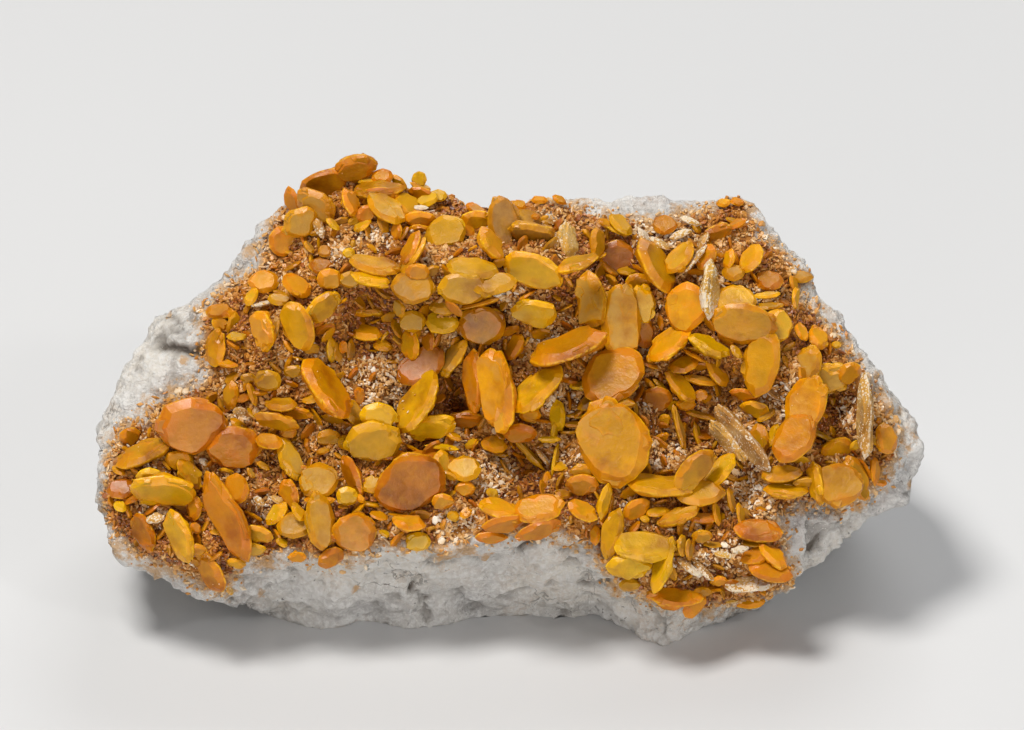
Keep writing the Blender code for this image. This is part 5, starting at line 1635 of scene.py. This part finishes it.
@dataclass
class InfillCrystals:
    """The many small crystals that crowd the gaps between the larger ones.

    Attributes:
        ground: What they stand on.
        box: The box that they stay inside.
        tries: How many places are drawn.
        spacing: The least distance between two of them, in millimetres.
        seed: What they are drawn from.
        tints: Their tints.
        edge: How far inside the crust's edge they begin, in millimetres.
        druse: The share of the places in white druse that are left free of them.
        lengths: Their lengths, in millimetres.
        short: How much shorter they are near the crust's edge.
        widths: Their widths as shares of their lengths.
        thicknesses: Their thicknesses, in millimetres.
        tilts: How far they tip from facing out, in degrees.
        bevels: The share of their radius that the bevels take.
    """

    ground: Ground
    box: Box
    tries: int = 5000
    spacing: float = 1.9
    seed: int = 5
    tints: tuple = (Tint.GOLDEN, Tint.AMBER, Tint.TAN, Tint.BROWN)
    edge: tuple[float, float] = (0.6, 2.4)
    druse: float = 0.85
    lengths: tuple[float, float] = (1.5, 3.8)
    short: float = 0.7
    widths: tuple[float, float] = (0.42, 0.8)
    thicknesses: tuple[float, float] = (0.3, 0.65)
    tilts: tuple[float, float] = (38, 82)
    bevels: tuple[float, float] = (0.16, 0.32)

    def build(self) -> dict[Tint, bpy.types.Object]:
        """Builds one piece of each tint.

        Returns:
            The pieces by tint.
        """
        draw = random.Random(self.seed)
        pieces = {tint: PieceOfMany(f"small_{tint.value}_crystals", self.box) for tint in self.tints}
        taken = {}
        for _ in range(self.tries):
            u, v = draw.uniform(*ACROSS), draw.uniform(*UP)
            depth = inside(u, v, CRUST_EDGE)
            if depth < draw.uniform(*self.edge):
                continue
            if self.crowded(u, v, taken) or (among(u, v, WHITE_DRUSE, draw) and draw.random() < self.druse):
                continue
            seen = self.ground.look(u, v)
            if seen is None or seen[2]:
                continue
            taken.setdefault((round(u / self.spacing), round(v / self.spacing)), []).append((u, v))
            length = draw.uniform(*self.lengths) * (self.short if depth < 2.5 else 1.0)
            width = length * draw.uniform(*self.widths)
            aim = math.degrees(noise.noise(Vector((u / 14, v / 14, 3.0))) * 7) + draw.gauss(0, 45)
            raised = FACE.seen(seen[0])[2] - FRONT.depth(u, v) + draw.uniform(-0.3, 0.5)
            plate = Plate(u, v, length, width, draw.uniform(*self.thicknesses), aim,
                          draw.uniform(*self.tilts), raised)
            # Painted shade in part: the small crystals in the gaps take only the darker part of the tones
            tablet = Tablet(f"{u} {v}", draw.uniform(*self.bevels), facets=2, rings=PLAIN_RINGS,
                            tone=draw.uniform(0, 0.75), sides=draw.choice((6, 7, 8)))
            pieces[draw.choice(self.tints)].add(tablet.mesh(), plate.place())
        return {tint: piece.build() for tint, piece in pieces.items()}

    def crowded(self, u: float, v: float, taken: dict) -> bool:
        """Whether another small crystal stands too near.

        Args:
            u: Millimetres to the right.
            v: Millimetres up the face.
            taken: The places taken, by square of the face.

        Returns:
            Whether one is too near.
        """
        column, row = round(u / self.spacing), round(v / self.spacing)
        squares = ((column + a, row + b) for a in (-1, 0, 1) for b in (-1, 0, 1))
        near = (place for square in squares for place in taken.get(square, ()))
        return any(math.hypot(u - a, v - b) < self.spacing for a, b in near)

    def dress(self, pieces: dict, materials: dict) -> None:
        """Gives the pieces the finish of their tints, and their place in the model.

        Args:
            pieces: The pieces by tint.
            materials: The materials by tint.
        """
        for tint, piece in pieces.items():
            piece.data.materials.append(materials[tint])
            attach(piece, "root")


@dataclass
class CrustGrains:
    """Thousands of tiny blades and granules that sparkle between the crystals.

    Attributes:
        ground: What they lie on.
        box: The box that they stay inside.
        tries: How many places are drawn.
        on_crystal: The share of the places on a crystal that get a grain.
        druse: The same where white druse lies.
        small: How much smaller the grains on a crystal are.
        edge: How far inside the crust's edge they begin, in millimetres.
        ragged: How far they stray out over that, in millimetres.
        blades: The share of the grains that are blades.
        blade_length: The lengths of the blades, in millimetres.
        blade_width: Their widths as shares of their lengths.
        blade_thickness: Their thicknesses, in millimetres.
        blade_lean: How far they lean from lying flat, in radians.
        blade_lift: How far their middles lie over the ground, in millimetres.
        lump_size: The sizes of the granules, in millimetres.
        lump_uneven: How near and how far their corners are, as shares of their radius.
        tangle: How far the grains turn from the ground's own direction.
        white_tone: The tones of the grains in white druse, from 0 for dark rust to 1 for white.
        rust_and_shade_tone: The tones where the crust is rusty, and where painted shade darkens it in
            cavities.
        usual_tone: The usual tone elsewhere, and how far it varies.
        stray_tone: The tones of grains on a crystal or outside the crust.
        crisp: Edges sharper than this stay crisp, in radians.
        seed: What they are drawn from.
    """

    ground: Ground
    box: Box
    tries: int = 70000
    on_crystal: float = 0.0
    druse: float = 0.06
    small: float = 0.45
    edge: float = 0.5
    ragged: float = 1.3
    blades: float = 0.44
    blade_length: tuple[float, float] = (0.6, 1.5)
    blade_width: tuple[float, float] = (0.45, 0.8)
    blade_thickness: tuple[float, float] = (0.18, 0.34)
    blade_lean: tuple[float, float] = (0.3, 1.4)
    blade_lift: float = 0.15
    lump_size: tuple[float, float] = (0.25, 0.62)
    lump_uneven: tuple[float, float] = (0.8, 1.15)
    tangle: float = 0.6
    white_tone: tuple[float, float] = (0.5, 1.0)
    rust_and_shade_tone: tuple[float, float] = (0.0, 0.5)
    usual_tone: tuple[float, float] = (0.5, 0.16)
    stray_tone: tuple[float, float] = (0.4, 0.95)
    crisp: float = math.radians(15)
    seed: int = 11

    def blade(self, sides: int) -> bpy.types.Mesh:
        """A very small tablet of one metre each way, with few faces.

        Args:
            sides: How many sides it has.

        Returns:
            The mesh.
        """
        bm = bmesh.new()
        tone = bm.verts.layers.float.new("tone")
        bmesh.ops.create_circle(bm, segments=sides, radius=0.5)
        rim = list(bm.edges)
        for side in (1, -1):
            corners, ring = next_ring(bm, rim)
            for vert in corners:
                vert.co = Vector((vert.co.x * 0.7, vert.co.y * 0.7, side * 0.5))
            bmesh.ops.edgeloop_fill(bm, edges=ring)
        for vert in bm.verts:
            vert[tone] = 0.5
        bmesh.ops.recalc_face_normals(bm, faces=bm.faces)
        return mesh_from(bm, "blade")

    def granule(self) -> bpy.types.Mesh:
        """A very small lump of one metre each way."""
        bm = bmesh.new()
        tone = bm.verts.layers.float.new("tone")
        bmesh.ops.create_icosphere(bm, subdivisions=1, radius=0.5)
        uneven = random.Random(self.seed)
        for vert in bm.verts:
            vert.co *= uneven.uniform(*self.lump_uneven)
            vert[tone] = 0.5
        return mesh_from(bm, "granule")

    def shade_at(self, u: float, v: float, draw: random.Random) -> float:
        """The tone of a grain at a place, from 0 for dark rust to 1 for white.

        Args:
            u: Millimetres to the right.
            v: Millimetres up the face.
            draw: Where its own variation is drawn from.

        Returns:
            The tone.
        """
        if among(u, v, WHITE_DRUSE, draw):
            return draw.uniform(*self.white_tone)
        # Painted shade in part: some of these patches are dark cavities, where the grains take dark tones
        if among(u, v, RUST_AND_SHADE, draw):
            return draw.uniform(*self.rust_and_shade_tone)
        drift = noise.noise(Vector((u / 5, v / 5, 8.0))) * 0.35
        return min(max(draw.gauss(*self.usual_tone) + drift, 0.0), 1.0)

    def build(self) -> list[bpy.types.Object]:
        """Builds the pieces: the blades, and the granules.

        Returns:
            The pieces.
        """
        draw = random.Random(self.seed)
        blades, granules = (PieceOfMany(f"crust_{kind}", self.box, self.crisp)
                            for kind in ("blades", "granules"))
        shapes = [self.blade(4), self.blade(6)]
        lump = self.granule()
        for _ in range(self.tries):
            u, v = draw.uniform(*ACROSS), draw.uniform(*UP)
            depth = inside(u, v, CRUST_EDGE)
            if depth < self.edge - abs(draw.gauss(0, self.ragged)):
                continue
            seen = self.ground.look(u, v)
            if seen is None:
                continue
            point, normal, on_crystal = seen
            if on_crystal:
                share = self.druse if among(u, v, WHITE_DRUSE, draw) else self.on_crystal
                if draw.random() > share:
                    continue
            stray = on_crystal or depth < 0
            tone = draw.uniform(*self.stray_tone) if stray else self.shade_at(u, v, draw)
            small = self.small if on_crystal else 1.0
            strayed = Vector([draw.gauss(0, 1) for _ in range(3)]) * self.tangle
            turn = (normal + strayed).to_track_quat("Z", "Y").to_matrix().to_4x4()
            if draw.random() < self.blades:
                on_ground = Matrix.Translation(point + normal * self.blade_lift * MM) @ turn
                place = self.blade_place(on_ground, small, draw)
                blades.add(draw.choice(shapes), place, tone)
            else:
                size = draw.uniform(*self.lump_size) * small * MM
                flat = Matrix.Diagonal((size, size * draw.uniform(0.7, 1), size * draw.uniform(0.6, 1), 1))
                granules.add(lump, Matrix.Translation(point) @ turn @ flat, tone)
        return [blades.build(), granules.build()]

    def blade_place(self, on_ground: Matrix, small: float, draw: random.Random) -> Matrix:
        """The place, lean and size of a blade.

        Args:
            on_ground: The place and the direction of the ground.
            small: How much smaller than others the blade is.
            draw: Where its lean and size are drawn from.

        Returns:
            The matrix that brings a blade of one metre each way there.
        """
        length = draw.uniform(*self.blade_length) * small
        width = length * draw.uniform(*self.blade_width)
        thickness = draw.uniform(*self.blade_thickness) * small
        size = Matrix.Diagonal((length * MM, width * MM, thickness * MM, 1))
        lean = Matrix.Rotation(draw.uniform(*self.blade_lean), 4, "X")
        spin = Matrix.Rotation(draw.uniform(0, 2 * math.pi), 4, "Z")
        return on_ground @ spin @ lean @ size

    def dress(self, pieces: list[bpy.types.Object], groups: EffectGroups) -> None:
        """Gives the pieces their finish and their place in the model.

        Args:
            pieces: The pieces.
            groups: The shared effects.
        """
        material = GrainFinish().material("crust grains", groups)
        for piece in pieces:
            piece.data.materials.append(material)
            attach(piece, "root")


@dataclass(frozen=True)
class SoftLight:
    """A square soft light that shines on the specimen.

    Attributes:
        name: Its name.
        place: Where it is, in metres.
        size: The length of its sides, in metres.
        power: Its power, in watts.
        color: Its colour.
        target: The point that it faces.
    """

    name: str
    place: tuple[float, float, float]
    size: float
    power: float
    color: Color
    target: tuple[float, float, float] = (0, 0, 0.03)

    def build(self) -> None:
        """Makes the light."""
        data = bpy.data.lights.new(self.name, "AREA")
        data.size = self.size
        data.energy = self.power
        data.color = self.color
        light = put_in_scene(self.name, data)
        light.location = self.place
        back = Vector(self.place) - Vector(self.target)
        light.rotation_euler = back.to_track_quat("Z", "Y").to_euler()


@dataclass
class Studio:
    """The pale floor, the soft lights and the camera, square on to the face.

    Attributes:
        aim: The place on the face at the middle of the picture: u, v, w.
        view_width: How wide the picture is there, in metres.
        lens: The camera's focal length, in millimetres.
        sensor: The width of its sensor, in millimetres.
        floor_size: How far the floor reaches, in metres.
        floor_color: Its colour.
        sky: The colour of the light from all round.
        sky_strength: How strong that light is.
        lights: The soft lights.
    """

    aim: tuple[float, float, float] = (0.45, 38.55, 14.0)
    view_width: float = 0.1536
    lens: float = 300.0
    sensor: float = 36.0
    floor_size: float = 3.0
    floor_color: Color = (0.6, 0.6, 0.6)
    sky: Color = (0.92, 0.95, 1.0)
    sky_strength: float = 0.18
    lights: tuple[SoftLight, ...] = (
        SoftLight("key", (-0.3, -0.16, 0.92), 0.28, 8.6, (1.0, 0.98, 0.95)),
        SoftLight("fill", (0.65, -0.6, 0.5), 0.7, 1.6, (0.97, 0.98, 1.0)),
        SoftLight("front", (-0.15, -0.95, 0.12), 0.4, 3.4, (1.0, 0.98, 0.96)),
        SoftLight("glints", (0.42, -0.5, 0.62), 0.05, 0.6, (1.0, 0.99, 0.97)),
        SoftLight("rim", (0.2, 0.6, 0.6), 0.5, 2.5, (1.0, 1.0, 1.0)),
    )

    def build(self) -> None:
        """Makes the floor, the camera, the lights and the world."""
        self.build_floor()
        self.build_camera()
        for light in self.lights:
            light.build()
        world = bpy.data.worlds.new("studio")
        bpy.context.scene.world = world
        world.use_nodes = True
        background = world.node_tree.nodes["Background"]
        background.inputs["Color"].default_value = opaque(self.sky)
        background.inputs["Strength"].default_value = self.sky_strength
        bpy.context.scene.view_settings.view_transform = "Standard"

    def build_floor(self) -> None:
        """Makes the floor."""
        bm = bmesh.new()
        bmesh.ops.create_grid(bm, x_segments=1, y_segments=1, size=self.floor_size)
        floor = put_in_scene("floor", mesh_from(bm, "floor"))
        material, shade, shader = new_material("floor")
        shade.feed(shader, {"Base Color": opaque(self.floor_color), "Roughness": 0.7})
        floor.data.materials.append(material)
        floor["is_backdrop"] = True

    def build_camera(self) -> None:
        """Makes the camera."""
        data = bpy.data.cameras.new("camera")
        data.lens = self.lens
        data.sensor_width = self.sensor
        data.clip_end = 20.0
        camera = put_in_scene("camera", data)
        far = self.view_width * self.lens / self.sensor
        camera.location = FACE.at(*self.aim) + FACE.out * far
        camera.rotation_euler = FACE.out.to_track_quat("Z", "Y").to_euler()
        bpy.context.scene.camera = camera


def nodes_of(record: dict, slot: str) -> list[str]:
    """The names of the solids that have a material slot."""
    return [part["node"] for part in record["subparts"] if part["material_slot"] == slot]


def main() -> None:
    """Builds and dresses the specimen, and lights it."""
    logging.basicConfig(level=logging.INFO, format="%(message)s")
    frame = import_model()
    solid_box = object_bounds()
    box = Box(*(Vector(corner) for corner in solid_box))
    groups = EffectGroups()
    materials = {tint: FINISHES[tint].material(tint.value, groups) for tint in Tint}
    crystals = []
    for tint in Tint:
        made = TintedCrystals(tint, nodes_of(frame["record"], tint.value), box)
        piece = made.build()
        made.dress(piece, materials[tint])
        crystals.append(piece)
    rock = LimestoneMatrix(box)
    stone = rock.build()
    rock.dress(stone, groups)
    bare = Ground(surface_of([stone]), surface_of(crystals))
    infill = InfillCrystals(bare, box)
    small_crystals = infill.build()
    infill.dress(small_crystals, materials)
    crystals += small_crystals.values()
    grains = CrustGrains(Ground(bare.rock, surface_of(crystals)), box)
    pieces = grains.build()
    grains.dress(pieces, groups)
    for piece in (stone, *crystals, *pieces):
        faces = sum(len(face.vertices) - 2 for face in piece.data.polygons)
        LOG.info("%s: %d triangles", piece.name, faces)
    Studio().build()


if __name__ == "__main__":
    main()
